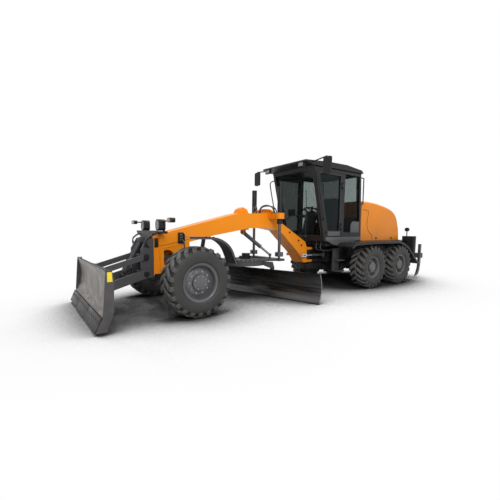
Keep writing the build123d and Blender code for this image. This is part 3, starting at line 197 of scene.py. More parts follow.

# %% [markdown]
# ## Ground and painted shadow
# The machine stands on white ground with a soft pool of painted shadow under it. A plain floor would show a
# horizon line. Here a large disc glows as white as the world behind it, which leaves out most of the shadows
# that the lamps cast, and an Ambient Occlusion node paints it dark where the machine is close above.

# %% Ground
GROUND_RADIUS = 40
disc = bmesh.new()
bmesh.ops.create_circle(disc, cap_ends=True, segments=96, radius=GROUND_RADIUS)
ground = put("ground", mesh_of(disc, "ground"))
pale = blank_material("white_ground_painted_shadow")
n = add_nodes(pale.node_tree, "ShaderNode", near="AmbientOcclusion", open="MapRange", matt="BsdfDiffuse",
              white="Emission", mix="MixShader", out="OutputMaterial")
n["near"].samples = 8
n["open"].interpolation_type = "SMOOTHSTEP"
# The dark colour, masked by the Ambient Occlusion, is a painted shadow pool under the machine.
set_values(n, near={"Distance": 2.6}, open={"From Min": 0.50, "From Max": 0.945},
           matt={"Color": (0.045, 0.045, 0.047, 1)}, white={"Color": WHITE})
wire(pale.node_tree, n, """
    near.AO > open.Value
    open.Result > mix.Fac
    matt.0 > mix.1
    white.0 > mix.2
    mix.0 > out.Surface
""")
ground.data.materials.append(pale)
print("ground of", GROUND_RADIUS, "m radius that fades to white")

# %% [markdown]
# ## Painted finishes
# The paint on a building machine is thick and glossy, with a fine orange-peel ripple, faint cloudy
# differences in colour, and dust that gathers low down. One flat colour would look like a toy. One helper
# builds the layers instead: broad noise shifts the colour, height and a second noise lay the dust on, a
# fine noise breaks up the gloss, and a still finer one makes the ripple.

# %% Paint helper
def finish(name, colour, rough, metal=0.0, coat=0.0, cloud=0.12, dust=0.15, dust_top=1.1, ripple=0.05,
           ripple_scale=160.0, dust_colour=(0.32, 0.27, 0.21), shine=0.5):
    """A layered paint, rubber or plastic finish on Object coordinates."""
    made = blank_material(name)
    n = add_nodes(made.node_tree, "ShaderNode", place="TexCoord", broad="TexNoise", shade="MapRange",
                  tint="Mix", split="SeparateXYZ", low="MapRange", patches="TexNoise", patchy="MapRange",
                  lie="Math", dusty="Mix", fine="TexNoise", gloss="MapRange", peel="TexNoise", bump="Bump",
                  skin="BsdfPrincipled", out="OutputMaterial")
    n["tint"].data_type = n["dusty"].data_type = "RGBA"
    n["lie"].operation = "MULTIPLY"
    darker = [c * (1 - cloud) for c in colour]
    lighter = [min(1.0, c * (1 + cloud)) for c in colour]
    set_values(
        n, broad={"Scale": 1.7, "Detail": 5.0}, patches={"Scale": 5.5, "Detail": 8.0},
        fine={"Scale": 42.0, "Detail": 4.0}, peel={"Scale": ripple_scale, "Detail": 3.0},
        shade={"From Min": 0.3, "From Max": 0.7}, tint={"A": (*darker, 1), "B": (*lighter, 1)},
        low={"From Min": dust_top, "From Max": 0.0},
        patchy={"From Min": 0.38, "From Max": 0.72, "To Max": dust}, dusty={"B": (*dust_colour, 1)},
        gloss={"From Min": 0.3, "From Max": 0.7, "To Min": max(0.03, rough - 0.07), "To Max": rough + 0.09},
        bump={"Strength": ripple, "Distance": 0.004},
        skin={"Metallic": metal, "Specular IOR Level": shine, "Coat Weight": coat, "Coat Roughness": 0.08})
    wire(made.node_tree, n, """
        place.Object > broad.Vector
        place.Object > patches.Vector
        place.Object > fine.Vector
        place.Object > peel.Vector
        place.Object > split.Vector
        broad.Fac > shade.Value
        shade.Result > tint.Factor
        split.Z > low.Value
        patches.Fac > patchy.Value
        low.Result > lie.0
        patchy.Result > lie.1
        lie.Value > dusty.Factor
        tint.Result > dusty.A
        dusty.Result > skin.Base Color
        fine.Fac > gloss.Value
        gloss.Result > skin.Roughness
        peel.Fac > bump.Height
        bump.Normal > skin.Normal
        skin.0 > out.Surface
    """)
    return made


print("paint helper:", finish.__doc__)

# %% [markdown]
# ## Paints, rubber and plastics
# The body is orange and the frame, axles and fenders are nearly black. Each finish could be a network of
# its own, but they differ only in colour, gloss, dust and ripple, so each is one call of the helper.

# %% Paints, rubber and plastics
orange = finish("orange_paint", (0.80, 0.245, 0.006), 0.36, cloud=0.04, dust=0.08, shine=0.25)
charcoal = finish("charcoal_paint", (0.052, 0.050, 0.054), 0.46, dust=0.14, shine=0.3)
black = finish("black_paint", (0.011, 0.011, 0.012), 0.40, dust=0.08, shine=0.22)
cab_dark = finish("cab_post_paint", (0.017, 0.017, 0.018), 0.42, dust=0.04, shine=0.22)
skirt_grey = finish("skirt_grey_plastic", (0.095, 0.097, 0.100), 0.55, dust=0.1, ripple=0.12, shine=0.3)
rim_grey = finish("rim_grey_paint", (0.096, 0.095, 0.102), 0.36, coat=0.06, dust=0.16, shine=0.3)
rubber = finish("tyre_rubber", (0.014, 0.0138, 0.0135), 0.62, cloud=0.15, dust=0.20, dust_top=1.6,
                ripple=0.25, ripple_scale=90.0, dust_colour=(0.07, 0.066, 0.060), shine=0.35)
cast = finish("engine_cast_iron", (0.10, 0.10, 0.10), 0.6, metal=0.4, ripple=0.5, ripple_scale=120.0)
plastic = finish("dark_plastic", (0.024, 0.024, 0.026), 0.55, dust=0.0, ripple=0.2, ripple_scale=420.0)
paints = (orange, charcoal, black, cab_dark, skirt_grey, rim_grey, rubber, cast, plastic)
print("paints, rubber and plastics:", [m.name for m in paints])

# %% [markdown]
# ## Bare metal
# The moldboard is the tool that does the work. Earth polishes it along its length, so its steel has long
# faint streaks, a dark oily shine and a few rusty patches. Painting streaks by hand would need an image.
# Noise that is squeezed hard in one direction with a Mapping node, and turned to the blade's own angle,
# does the same without one.

# %% Steel helper
def streaked_steel(name, dark, light, rough, turned, rust=0.2, squeeze=(1.2, 26.0, 26.0)):
    """Polished, streaked steel: the streaks run along the first axis after the pattern is turned about Z."""
    made = blank_material(name)
    n = add_nodes(made.node_tree, "ShaderNode", place="TexCoord", turn="Mapping", streak="TexNoise",
                  tone="MapRange", tint="Mix", spots="TexNoise", spotty="MapRange", stain="Mix",
                  gloss="MapRange", bump="Bump", skin="BsdfPrincipled", out="OutputMaterial")
    n["turn"].vector_type = "TEXTURE"
    n["tint"].data_type = n["stain"].data_type = "RGBA"
    set_values(
        n, turn={"Rotation": (0, 0, turned), "Scale": [1 / s for s in squeeze]},
        streak={"Scale": 1.0, "Detail": 7.0}, spots={"Scale": 3.1, "Detail": 9.0},
        tone={"From Min": 0.32, "From Max": 0.68}, tint={"A": (*dark, 1), "B": (*light, 1)},
        spotty={"From Min": 0.52, "From Max": 0.78, "To Max": rust}, stain={"B": (0.13, 0.095, 0.07, 1)},
        gloss={"From Min": 0.3, "From Max": 0.7, "To Min": rough - 0.10, "To Max": rough + 0.12},
        bump={"Strength": 0.10, "Distance": 0.003}, skin={"Metallic": 0.85})
    wire(made.node_tree, n, """
        place.Object > turn.Vector
        turn.Vector > streak.Vector
        place.Object > spots.Vector
        streak.Fac > tone.Value
        tone.Result > tint.Factor
        spots.Fac > spotty.Value
        spotty.Result > stain.Factor
        tint.Result > stain.A
        stain.Result > skin.Base Color
        streak.Fac > gloss.Value
        gloss.Result > skin.Roughness
        streak.Fac > bump.Height
        bump.Normal > skin.Normal
        skin.0 > out.Surface
    """)
    return made


print("steel helper:", streaked_steel.__doc__)

# %% [markdown]
# ## Steels
# Blades, teeth and rods are the same material, worn in different ways. The moldboard is dark and polished,
# the front blade's face is smeared with dry earth, and the rods are bright chrome or dark with oil. One
# helper with other tones and streaks serves them all.

# %% Steels
BLADE_ANGLE = radians(16)
ALONG_BLADE = BLADE_ANGLE + pi / 2
blade_steel = streaked_steel("moldboard_steel", (0.030, 0.030, 0.030), (0.085, 0.08, 0.078), 0.22,
                             ALONG_BLADE)
edge_steel = streaked_steel("cutting_edge_steel", (0.05, 0.05, 0.052), (0.12, 0.12, 0.125), 0.34, ALONG_BLADE)
dozer_steel = streaked_steel("dozer_face_steel", (0.055, 0.051, 0.048), (0.33, 0.305, 0.285), 0.46, pi / 2,
                             rust=0.55, squeeze=(5.0, 30.0, 2.0))
shank_steel = streaked_steel("ripper_tooth_steel", (0.08, 0.08, 0.08), (0.2, 0.2, 0.2), 0.45, 0.0,
                             squeeze=(20.0, 20.0, 3.0))
chrome = streaked_steel("piston_chrome", (0.46, 0.46, 0.48), (0.56, 0.56, 0.58), 0.16, 0.0, rust=0.03,
                        squeeze=(30.0, 30.0, 30.0))
rod_steel = streaked_steel("dark_rod_steel", (0.07, 0.07, 0.075), (0.13, 0.13, 0.135), 0.26, 0.0, rust=0.05,
                           squeeze=(30.0, 30.0, 4.0))
print("steels:", [m.name for m in (blade_steel, edge_steel, dozer_steel, shank_steel, chrome, rod_steel)])

# %% [markdown]
# ## Glass
# Cab windows are tinted safety glass. Real refraction is slow and noisy for a flat pane. A thin pane that
# lets light straight through with a grey-green tint, mixed with a mirror-like surface, looks right from
# both sides and keeps the seat visible inside. The door panes are made darker and less clear, as painted
# shade of the dark cab behind them.

# %% Glass
def tinted(name, tint, clearness):
    """A thin tinted pane: clear to look through, glossy to look along."""
    made = blank_material(name)
    n = add_nodes(made.node_tree, "ShaderNode", skin="BsdfPrincipled", through="BsdfTransparent",
                  mix="MixShader",
                  place="TexCoord", film="TexNoise", haze="MapRange", out="OutputMaterial")
    set_values(n, skin={"Base Color": (*tint, 1), "IOR": 1.22}, through={"Color": (0.80, 0.84, 0.83, 1)},
               film={"Scale": 2.3, "Detail": 6.0}, haze={"To Min": 0.03, "To Max": 0.11},
               mix={"Fac": 1 - clearness})
    wire(made.node_tree, n, """
        place.Object > film.Vector
        film.Fac > haze.Value
        haze.Result > skin.Roughness
        through.0 > mix.1
        skin.0 > mix.2
        mix.0 > out.Surface
    """)
    return made


glass = tinted("tinted_glass", (0.006, 0.008, 0.008), 0.80)
# Darker, less clear door panes: painted shade of the cab behind them.
door_glass = tinted("door_glass", (0.003, 0.008, 0.008), 0.36)
print("glass:", glass.name, door_glass.name)

# %% [markdown]
# ## Dress the solids
# The record of the machine names a material slot for each solid. Finishes could be set solid by solid, but
# the slots already say most of it: every slot gets one finish, and a few solids then take a closer one.

# %% Dress the solids
DRESS = {
    "orange_paint": orange, "charcoal_paint": charcoal, "black_paint": black, "rim_grey": rim_grey,
    "tyre": rubber,
    "tinted_glass": glass, "rod_chrome": chrome, "worn_steel": blade_steel, "seat_cloth": plastic,
    "dark_plastic": plastic, "engine_grey": cast,
}


def dress(material, *names):
    """Give solids one finish."""
    for name in names:
        solids[name].data.materials.clear()
        solids[name].data.materials.append(material)


for part in frame["record"]["subparts"]:
    dress(DRESS[part["material_slot"]], part["node"])
dress(edge_steel, "cutting_edge")
dress(shank_steel, "ripper_shanks")
dress(door_glass, "door_glass_left", "door_glass_right")
dress(black, "cab_roof", "rails_and_mirrors", "lift_barrels", "swing_motor", "rear_frame")
dress(charcoal, "fender_front_left", "fender_front_right")
dress(cab_dark, "cab_shell", "door_left", "door_right")
dress(rod_steel, "lift_rods", "shift_rod", "dozer_rod")

# %% [markdown]
# ## Plates and blocks
# Most small pieces on a machine are one of three things: a cut and bent plate, a bent tube, or a turned
# part. Each could be modelled by hand, but a short helper that adds such a form to a mesh under
# construction keeps every size in the script. Plates and blocks come first.

# %% Plates and blocks
AXLE_X = (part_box("tyre_steer_left")[0].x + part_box("tyre_steer_left")[1].x) / 2
SIDES = {"left": 1, "right": -1}


def at(x, y, z):
    """A point measured from the front axle's line, in metres."""
    return Vector((AXLE_X + x, y, z))


def add_plate(bm, points, thick, bevel=0.003):
    """A flat plate: an outline of points pushed along the vector thick, with softened edges."""
    low = [bm.verts.new(p) for p in points]
    high = [bm.verts.new(Vector(p) + Vector(thick)) for p in points]
    count = len(points)
    faces = [bm.faces.new(low), bm.faces.new(high[::-1])]
    for k in range(count):
        faces.append(bm.faces.new((low[k], high[k], high[(k + 1) % count], low[(k + 1) % count])))
    bmesh.ops.recalc_face_normals(bm, faces=faces)
    edges = list({e for f in faces for e in f.edges})
    if bevel:
        bmesh.ops.bevel(bm, geom=edges, offset=bevel, segments=2, affect="EDGES", profile=0.6)


def add_block(bm, low, high, bevel=0.004):
    """A block between two corners, with softened edges."""
    (x0, y0, z0), (x1, y1, z1) = low, high
    add_plate(bm, [(x0, y0, z0), (x1, y0, z0), (x1, y1, z0), (x0, y1, z0)], (0, 0, z1 - z0), bevel)


print("front axle at", round(AXLE_X, 3), "m")

# %% [markdown]
# ## Tubes
# Handrails, seals and hoses are round bars bent along a path. Extruding a circle along the path by hand is
# error-prone, and a curve with a bevel does it in one step. A NURBS line makes the soft bends of a bent
# tube, and a poly line the straight runs.

# %% Tubes
TUBE_STEPS = 5


def round_line(name, points, radius, sides, steps, closed=False, smooth=True):
    """Curve data for a round bar, bent smoothly along its points or straight between them."""
    line = bpy.data.curves.new(name, "CURVE")
    line.dimensions = "3D"
    line.bevel_depth = radius
    line.bevel_resolution = sides
    line.resolution_u = steps
    line.use_fill_caps = True
    run = line.splines.new("NURBS" if smooth else "POLY")
    run.points.add(len(points) - 1)
    for spot, p in zip(run.points, points):
        spot.co = (*p, 1)
    run.use_cyclic_u = closed
    if smooth:
        run.order_u = 3
        run.use_endpoint_u = not closed
    return line


def add_tube(bm, points, radius, closed=False, smooth=True, sides=3):
    """A round bar or tube along a path."""
    line = round_line("path", points, radius, sides, TUBE_STEPS, closed, smooth)
    holder = put("path", line)
    made = bpy.data.meshes.new_from_object(holder.evaluated_get(bpy.context.evaluated_depsgraph_get()))
    bm.from_mesh(made)
    bpy.data.objects.remove(holder)
    bpy.data.curves.remove(line)
    bpy.data.meshes.remove(made)


print("tubes with", TUBE_STEPS, "steps between two points")

# %% [markdown]
# ## Turned parts
# Wheels, lenses, caps and knobs are round. A lathe makes the real ones from a profile, and this helper does
# the same: it spins pairs of radius and height about an axis. A Screw modifier could do it too, but here
# the part can stand at any place and angle inside a larger mesh.

# %% Turned parts and finished pieces
def add_turned(bm, origin, axis, profile, segments=32):
    """A turned part: (radius, height) pairs spun about an axis through origin."""
    axis = Vector(axis).normalized()
    across = axis.orthogonal().normalized()
    other = axis.cross(across)
    turns = [2 * pi * k / segments for k in range(segments)]
    rings = []
    for radius, height in profile:
        centre = Vector(origin) + axis * height
        if radius < 1e-6:
            rings.append([bm.verts.new(centre)])
            continue
        rings.append([bm.verts.new(centre + (across * cos(a) + other * sin(a)) * radius) for a in turns])
    faces = []
    for first, second in zip(rings, rings[1:]):
        for k in range(segments):
            j = (k + 1) % segments
            corners = [ring[m % len(ring)] for ring, m in ((first, k), (first, j), (second, j), (second, k))]
            faces.append(bm.faces.new(list(dict.fromkeys(corners))))
    bmesh.ops.recalc_face_normals(bm, faces=faces)


def soften(mesh, sharp):
    """Smooth shading, with edges kept sharp beyond an angle in degrees."""
    mesh.shade_smooth()
    mesh.set_sharp_from_angle(angle=radians(sharp))


def settle(bm, name, material, body, sharp=32):
    """Turn a finished mesh into a piece with one material that rides on a body."""
    mesh = mesh_of(bm, name)
    mesh.materials.append(material)
    soften(mesh, sharp)
    piece = put(name, mesh)
    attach(piece, body)
    return piece


print("turned parts:", add_turned.__doc__)

# %% [markdown]
# ## Bolt heads
# Wheels, cutting edges and cover plates are held by rows of equal bolts. Copying a bolt by hand is slow, so
# a Geometry Nodes tree does it: it takes a cloud of points, each with the direction that its bolt faces,
# and puts a six-sided head with a round washer on every one.

# %% Bolt tree
def new_tree(name, output, **inputs):
    """An empty Geometry Nodes tree: name of each input socket = its kind, and one geometry output."""
    tree = bpy.data.node_groups.new(name, "GeometryNodeTree")
    for label, kind in inputs.items():
        tree.interface.new_socket(label, in_out="INPUT", socket_type="NodeSocket" + kind)
    tree.interface.new_socket(output, in_out="OUTPUT", socket_type="NodeSocketGeometry")
    return tree


def bolt_tree():
    """Copies of a six-sided head on a washer, one on each point and turned to the point's facing."""
    tree = new_tree("bolt_heads", "heads", places="Geometry", radius="Float", height="Float",
                    finish="Material")
    n = add_nodes(tree, "GeometryNode", spots="MeshToPoints", head="MeshCylinder", washer="MeshCylinder",
                  both="JoinGeometry", facing="InputNamedAttribute", copies="InstanceOnPoints",
                  real="RealizeInstances", paint="SetMaterial")
    n |= add_nodes(tree, "", enter="NodeGroupInput", wide="ShaderNodeMath", tall="ShaderNodeMath",
                   turn="FunctionNodeAlignRotationToVector", leave="NodeGroupOutput")
    n["wide"].operation = n["tall"].operation = "MULTIPLY"
    n["facing"].data_type = "FLOAT_VECTOR"
    n["turn"].axis = "Z"
    set_values(n, head={"Vertices": 6}, washer={"Vertices": 20}, wide={1: 1.55}, tall={1: 0.5},
               facing={"Name": "facing"})
    wire(tree, n, """
        enter.places > spots.Mesh
        enter.radius > head.Radius
        enter.height > head.Depth
        enter.radius > wide.0
        enter.height > tall.0
        wide.0 > washer.Radius
        tall.0 > washer.Depth
        head.Mesh > both.Geometry
        washer.Mesh > both.Geometry
        facing.Attribute > turn.Vector
        spots.Points > copies.Points
        both.Geometry > copies.Instance
        turn.Rotation > copies.Rotation
        copies.Instances > real.Geometry
        real.Geometry > paint.Geometry
        enter.finish > paint.Material
        paint.Geometry > leave.heads
    """)
    return tree


BOLTS = bolt_tree()
print("bolt tree with", len(BOLTS.nodes), "nodes")

# %% [markdown]
# ## From tree to piece
# A Geometry Nodes result lives only in a modifier, and the export needs a plain mesh. So the inputs are set
# by their socket identifiers, the result is stored as mesh data, and the modifier goes. Bolts are the first
# user: their points carry an attribute that says which way each one faces.

# %% From tree to piece
def grow(piece, tree, sharp, **values):
    """Run a Geometry Nodes tree on a piece with these inputs, and keep what it makes as a plain mesh."""
    modifier = piece.modifiers.new("grow", "NODES")
    modifier.node_group = tree
    for socket in tree.interface.items_tree:
        if socket.in_out == "INPUT" and socket.name in values:
            modifier[socket.identifier] = values[socket.name]
    plain = bpy.data.meshes.new_from_object(piece.evaluated_get(bpy.context.evaluated_depsgraph_get()))
    piece.modifiers.clear()
    piece.data = plain
    soften(plain, sharp)


def bolt_on(name, places, material, body, slot, radius, height):
    """Bolt heads at (point, direction) pairs, as one piece."""
    cloud = bpy.data.meshes.new(name)
    cloud.from_pydata([tuple(p) for p, d in places], [], [])
    facing = cloud.attributes.new("facing", "FLOAT_VECTOR", "POINT")
    facing.data.foreach_set("vector", [c for p, d in places for c in d])
    piece = put(name, cloud)
    grow(piece, BOLTS, 30, radius=radius, height=height, finish=material)
    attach(piece, body)


print("bolts:", bolt_on.__doc__)

# %% [markdown]
# ## Tyre tread
# A grader tyre has tall slanted lugs that run from the middle of the tread round the shoulder, on a smooth
# carcass. Forty lugs placed by hand would never be even. A Geometry Nodes tree turns copies of one pair of
# lugs round the wheel in equal steps and joins them to the carcass. The piece stands for the tyre of the
# CAD model and keeps its sizes.

# %% Lug tree
def lug_tree():
    """Copies of a lug turned about the axle in equal steps and joined to the carcass."""
    tree = new_tree("lugs_round_a_wheel", "tyre", carcass="Geometry", lug="Object", count="Int", step="Float",
                    finish="Material")
    n = add_nodes(tree, "GeometryNode", shape="ObjectInfo", spots="Points", count="InputIndex",
                  copies="InstanceOnPoints", real="RealizeInstances", both="JoinGeometry",
                  paint="SetMaterial")
    n |= add_nodes(tree, "", enter="NodeGroupInput", angle="ShaderNodeMath", about="ShaderNodeCombineXYZ",
                   leave="NodeGroupOutput")
    n["angle"].operation = "MULTIPLY"
    wire(tree, n, """
        enter.lug > shape.Object
        enter.count > spots.Count
        count.0 > angle.0
        enter.step > angle.1
        angle.0 > about.Y
        spots.0 > copies.Points
        shape.Geometry > copies.Instance
        about.0 > copies.Rotation
        copies.Instances > real.Geometry
        enter.carcass > both.Geometry
        real.Geometry > both.Geometry
        both.Geometry > paint.Geometry
        enter.finish > paint.Material
        paint.Geometry > leave.tyre
    """)
    return tree


LUGS = lug_tree()
print("lug tree with", len(LUGS.nodes), "nodes")

# %% [markdown]
# ## Worn rubber and painted highlight
# The tops of the lugs are scuffed paler and also carry a painted highlight, the sidewalls are a little
# paler, and the groove floors keep the darkest rubber as painted shade. A second material on those faces
# would show a hard border. An attribute on the mesh marks these places instead, and the rubber mixes a
# paler tone in by that.

# %% Worn rubber
def tread_wear_and_highlight():
    """The tyre rubber, paler where an attribute on the mesh marks the sidewalls and the tops of the lugs:
    scuffed rubber and painted highlight.
    """
    made = rubber.copy()
    made.name = "lugged_tyre_rubber"
    t = made.node_tree
    n = add_nodes(t, "ShaderNode", worn="Attribute", part="Math", scuff="Mix")
    n["skin"] = next(node for node in t.nodes if node.type == "BSDF_PRINCIPLED")
    n["worn"].attribute_name = "worn"
    n["part"].operation = "MULTIPLY"
    n["scuff"].data_type = "RGBA"
    # The paler tone is scuffed rubber and a painted highlight.
    set_values(n, part={1: 0.62}, scuff={"B": (0.170, 0.165, 0.160, 1)})
    t.links.new(n["skin"].inputs["Base Color"].links[0].from_socket, n["scuff"].inputs["A"])
    wire(t, n, """
        worn.Fac > part.0
        part.0 > scuff.Factor
        scuff.Result > skin.Base Color
    """)
    return made


tread_rubber = tread_wear_and_highlight()
print("rubber:", tread_rubber.name)

# %% [markdown]
# ## One lug pair
# A lug starts past the middle of the tread, slants back and ends on the shoulder. It could be cut from a
# block, but five sections that are joined in a row follow the round shoulder better. Its upper edges are
# rounded by wear.

# %% One lug pair
LUG_DEPTH, LUG_SWEEP = 0.036, 0.150
LUG_TOP_HALF, LUG_FOOT_HALF = 0.040, 0.050
DRAWN_HALF = 0.2025


def add_lug(bm, tyre_r, half, way, phase):
    """One slanted lug from just past the middle of the tread, round the shoulder on the side given by way."""
    top = [(-0.012, 0.0), (0.09, 0.001), (0.150, 0.005), (0.184, 0.020), (0.199, 0.085)]
    foot = [(-0.006, LUG_DEPTH), (0.09, LUG_DEPTH + 0.003), (0.142, LUG_DEPTH + 0.008),
            (0.168, LUG_DEPTH + 0.022), (0.188, 0.096)]
    sweep = [0.0, 0.45, 0.78, 0.95, 1.0]
    rows = []
    for (y_top, drop), (y_foot, sink), part in zip(top, foot, sweep):
        middle = phase + LUG_SWEEP * part / tyre_r
        row = []
        section = ((y_top, drop, -LUG_TOP_HALF), (y_top, drop, LUG_TOP_HALF), (y_foot, sink, LUG_FOOT_HALF),
                   (y_foot, sink, -LUG_FOOT_HALF))
        for y, below, wide in section:
            angle, r = middle + wide / tyre_r, tyre_r - below
            row.append(bm.verts.new((r * sin(angle), way * y * half / DRAWN_HALF, r * cos(angle))))
        rows.append(row)
    faces = [bm.faces.new(rows[0]), bm.faces.new(rows[-1][::-1])]
    for first, second in zip(rows, rows[1:]):
        for k in range(4):
            faces.append(bm.faces.new((first[k], second[k], second[(k + 1) % 4], first[(k + 1) % 4])))
    bmesh.ops.recalc_face_normals(bm, faces=faces)
    tops = {v for row in rows for v in row[:2]}
    return [e for e in bm.edges if e.verts[0] in tops and e.verts[1] in tops]


def lug_pair(tyre_r, half, count):
    """Mesh data of two lugs, one for each side, half a step apart."""
    bm = bmesh.new()
    crest = []
    for way, phase in ((1, 0.0), (-1, pi / count)):
        crest += add_lug(bm, tyre_r, half, way, phase)
    bmesh.ops.bevel(bm, geom=crest, offset=0.006, segments=2, affect="EDGES", profile=0.5)
    # Lug tops get the full paler tone, scuffed rubber and painted highlight; the shoulders get less.
    worn = bm.verts.layers.float.new("worn")
    for v in bm.verts:
        crown = 1.0 if hypot(v.co.x, v.co.z) > tyre_r - 0.014 else 0.0
        v[worn] = max(crown, 0.45 if abs(v.co.y) > 0.90 * half else 0.0)
    return mesh_of(bm, "lug_pair")


print("lugs", LUG_DEPTH, "m deep that sweep back", LUG_SWEEP, "m")

# %% [markdown]
# ## Carcass and tyres
# The body of a tyre is a turned part: bead, ribbed sidewall, shoulder and crown. It could be a torus, but a
# real tyre has flat sides and a broad crown, and a profile gives both. Each tyre takes its radius and width
# from the solid that it stands for, and the lug tree then adds the tread.

# %% Carcass and tyres
def carcass(bm, tyre_r, rim_r, half):
    """The tyre's body without lugs: bead, ribbed sidewall, shoulder and crown, spun about Y."""
    side = [
        (0.740, rim_r + 0.001), (0.790, rim_r + 0.016), (0.850, rim_r + 0.026), (0.905, rim_r + 0.045),
        (0.925, rim_r + 0.050), (0.930, rim_r + 0.058), (0.965, rim_r + 0.085), (0.995, rim_r + 0.125),
        (0.990, tyre_r - 0.118), (0.975, tyre_r - 0.106), (0.968, tyre_r - 0.100), (0.920, tyre_r - 0.076),
        (0.845, tyre_r - 0.057), (0.740, tyre_r - 0.044), (0.45, tyre_r - 0.039), (0.0, tyre_r - 0.037),
    ]
    profile = [(r, -share * half) for share, r in side] + [(r, share * half) for share, r in side[-2::-1]]
    add_turned(bm, (0, 0, 0), (0, 1, 0), profile, segments=96)
    # Sidewalls get a little of the paler tone; the crown between the lugs keeps the darkest rubber, painted
    # shade in the grooves.
    worn = bm.verts.layers.float.new("worn")
    for v in bm.verts:
        v[worn] = 0.17 if hypot(v.co.x, v.co.z) < tyre_r - 0.085 else 0.0


def middle_and_radius(node):
    """The middle of a round solid about Y, its radius and half its width."""
    low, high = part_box(node)
    return (low + high) / 2, (high.z - low.z) / 2, (high.y - low.y) / 2


def make_tyre(node, body, count):
    """A lugged tyre in place of the tyre solid."""
    centre, tyre_r, half = middle_and_radius(node)
    rim_r = middle_and_radius(node.replace("tyre", "rim"))[1]
    bm = bmesh.new()
    carcass(bm, tyre_r, rim_r, half)
    piece = put(node + "_lugged", mesh_of(bm, node + "_lugged"))
    lug = put("lug_pair", lug_pair(tyre_r, half, count))
    grow(piece, LUGS, 38, lug=lug, count=count, step=2 * pi / count, finish=tread_rubber)
    bpy.data.objects.remove(lug)
    piece.data.transform(Matrix.Translation(centre))
    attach(piece, body)
    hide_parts(node)
    return piece


WHEELS = {f"steer_{side}": 22 for side in SIDES}
WHEELS.update({f"tandem_{side}_{place}": 20 for side in SIDES for place in ("front", "rear")})
for wheel, count in WHEELS.items():
    made = make_tyre("tyre_" + wheel, "wheel_" + wheel, count)
    print(made.name, len(made.data.polygons), "faces")

# %% [markdown]
# ## Rims
# The wheel disc is dished, with a rolled outer lip, a bolt flange round the hub and ten wheel nuts. Lip,
# flange and hub cap could be pressed from one sheet, but three turned sheets laid against the CAD rim keep
# each profile short. The nuts and the hub's small bolts come from the bolt tree.

# %% Rims
nut_steel = streaked_steel("wheel_nut_steel", (0.19, 0.19, 0.20), (0.32, 0.32, 0.33), 0.36, 0.0, rust=0.15,
                           squeeze=(20.0, 20.0, 20.0))
CAP = [(0.1305, 0.110), (0.1325, 0.128), (0.126, 0.1385), (0.095, 0.142), (0.088, 0.150), (0.060, 0.153),
       (0.0, 0.154)]
NUT_COUNT, HUB_COUNT = 10, 8
NUT_RING, HUB_RING = 0.59, 0.108


def bolt_circle(centre, way, ring, out, count, phase=0.0):
    """Places of bolts on a circle about a wheel's axle, all facing outward."""
    turns = [2 * pi * (k + phase) / count for k in range(count)]
    return [(centre + Vector((ring * cos(a), way * out, ring * sin(a))), (0, way, 0)) for a in turns]


for wheel in WHEELS:
    centre, rim_r = middle_and_radius("rim_" + wheel)[:2]
    way = 1 if centre.y > 0 else -1
    bm = bmesh.new()
    lip = [
        (rim_r - 0.020, 0.046), (rim_r - 0.024, 0.090), (rim_r - 0.022, 0.128), (rim_r - 0.014, 0.146),
        (rim_r + 0.004, 0.158), (rim_r + 0.016, 0.163), (rim_r + 0.021, 0.159), (rim_r + 0.019, 0.153),
        (rim_r + 0.004, 0.150),
    ]
    flange = [
        (rim_r - 0.030, 0.0455), (rim_r - 0.055, 0.047), (rim_r - 0.075, 0.062), (rim_r * 0.70, 0.074),
        (rim_r * 0.67, 0.078), (rim_r * 0.52, 0.078), (rim_r * 0.49, 0.084), (0.131, 0.088),
    ]
    for profile, segments in ((lip, 72), (flange, 64), (CAP, 48)):
        add_turned(bm, centre, (0, way, 0), profile, segments)
    settle(bm, f"rim_dish_{wheel}", rim_grey, "wheel_" + wheel, sharp=40)
    nuts = bolt_circle(centre, way, rim_r * NUT_RING, 0.082, NUT_COUNT)
    small = bolt_circle(centre, way, HUB_RING, 0.141, HUB_COUNT, phase=0.5)
    bolt_on(f"hub_bolts_{wheel}", small, nut_steel, "wheel_" + wheel, "rim_grey", radius=0.008, height=0.016)
    bolt_on(f"wheel_nuts_{wheel}", nuts, nut_steel, "wheel_" + wheel, "rim_grey", radius=0.0125, height=0.040)
print("rims dressed:", len(WHEELS), "with", NUT_COUNT, "nuts each")

# %% [markdown]
# ## Front blade sheet
# Earth has rubbed the paint off the face of the front blade, so it is brown-grey with smears, while its
# back and ends keep their dark paint. The solid can carry only one finish, so a thin sheet that follows the
# rolled face carries the worn one.

# %% Front blade sheet
BLADE_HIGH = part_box("dozer_blade")[1]
FACE = [(1.4835, 0.890), (1.455, 0.815), (1.4335, 0.735), (1.4245, 0.640), (1.4245, 0.555), (1.434, 0.460),
        (1.4545, 0.375), (1.492, 0.298), (1.528, 0.245)]
FACE_HALF, FACE_THICK = BLADE_HIGH.y - 0.027, 0.004


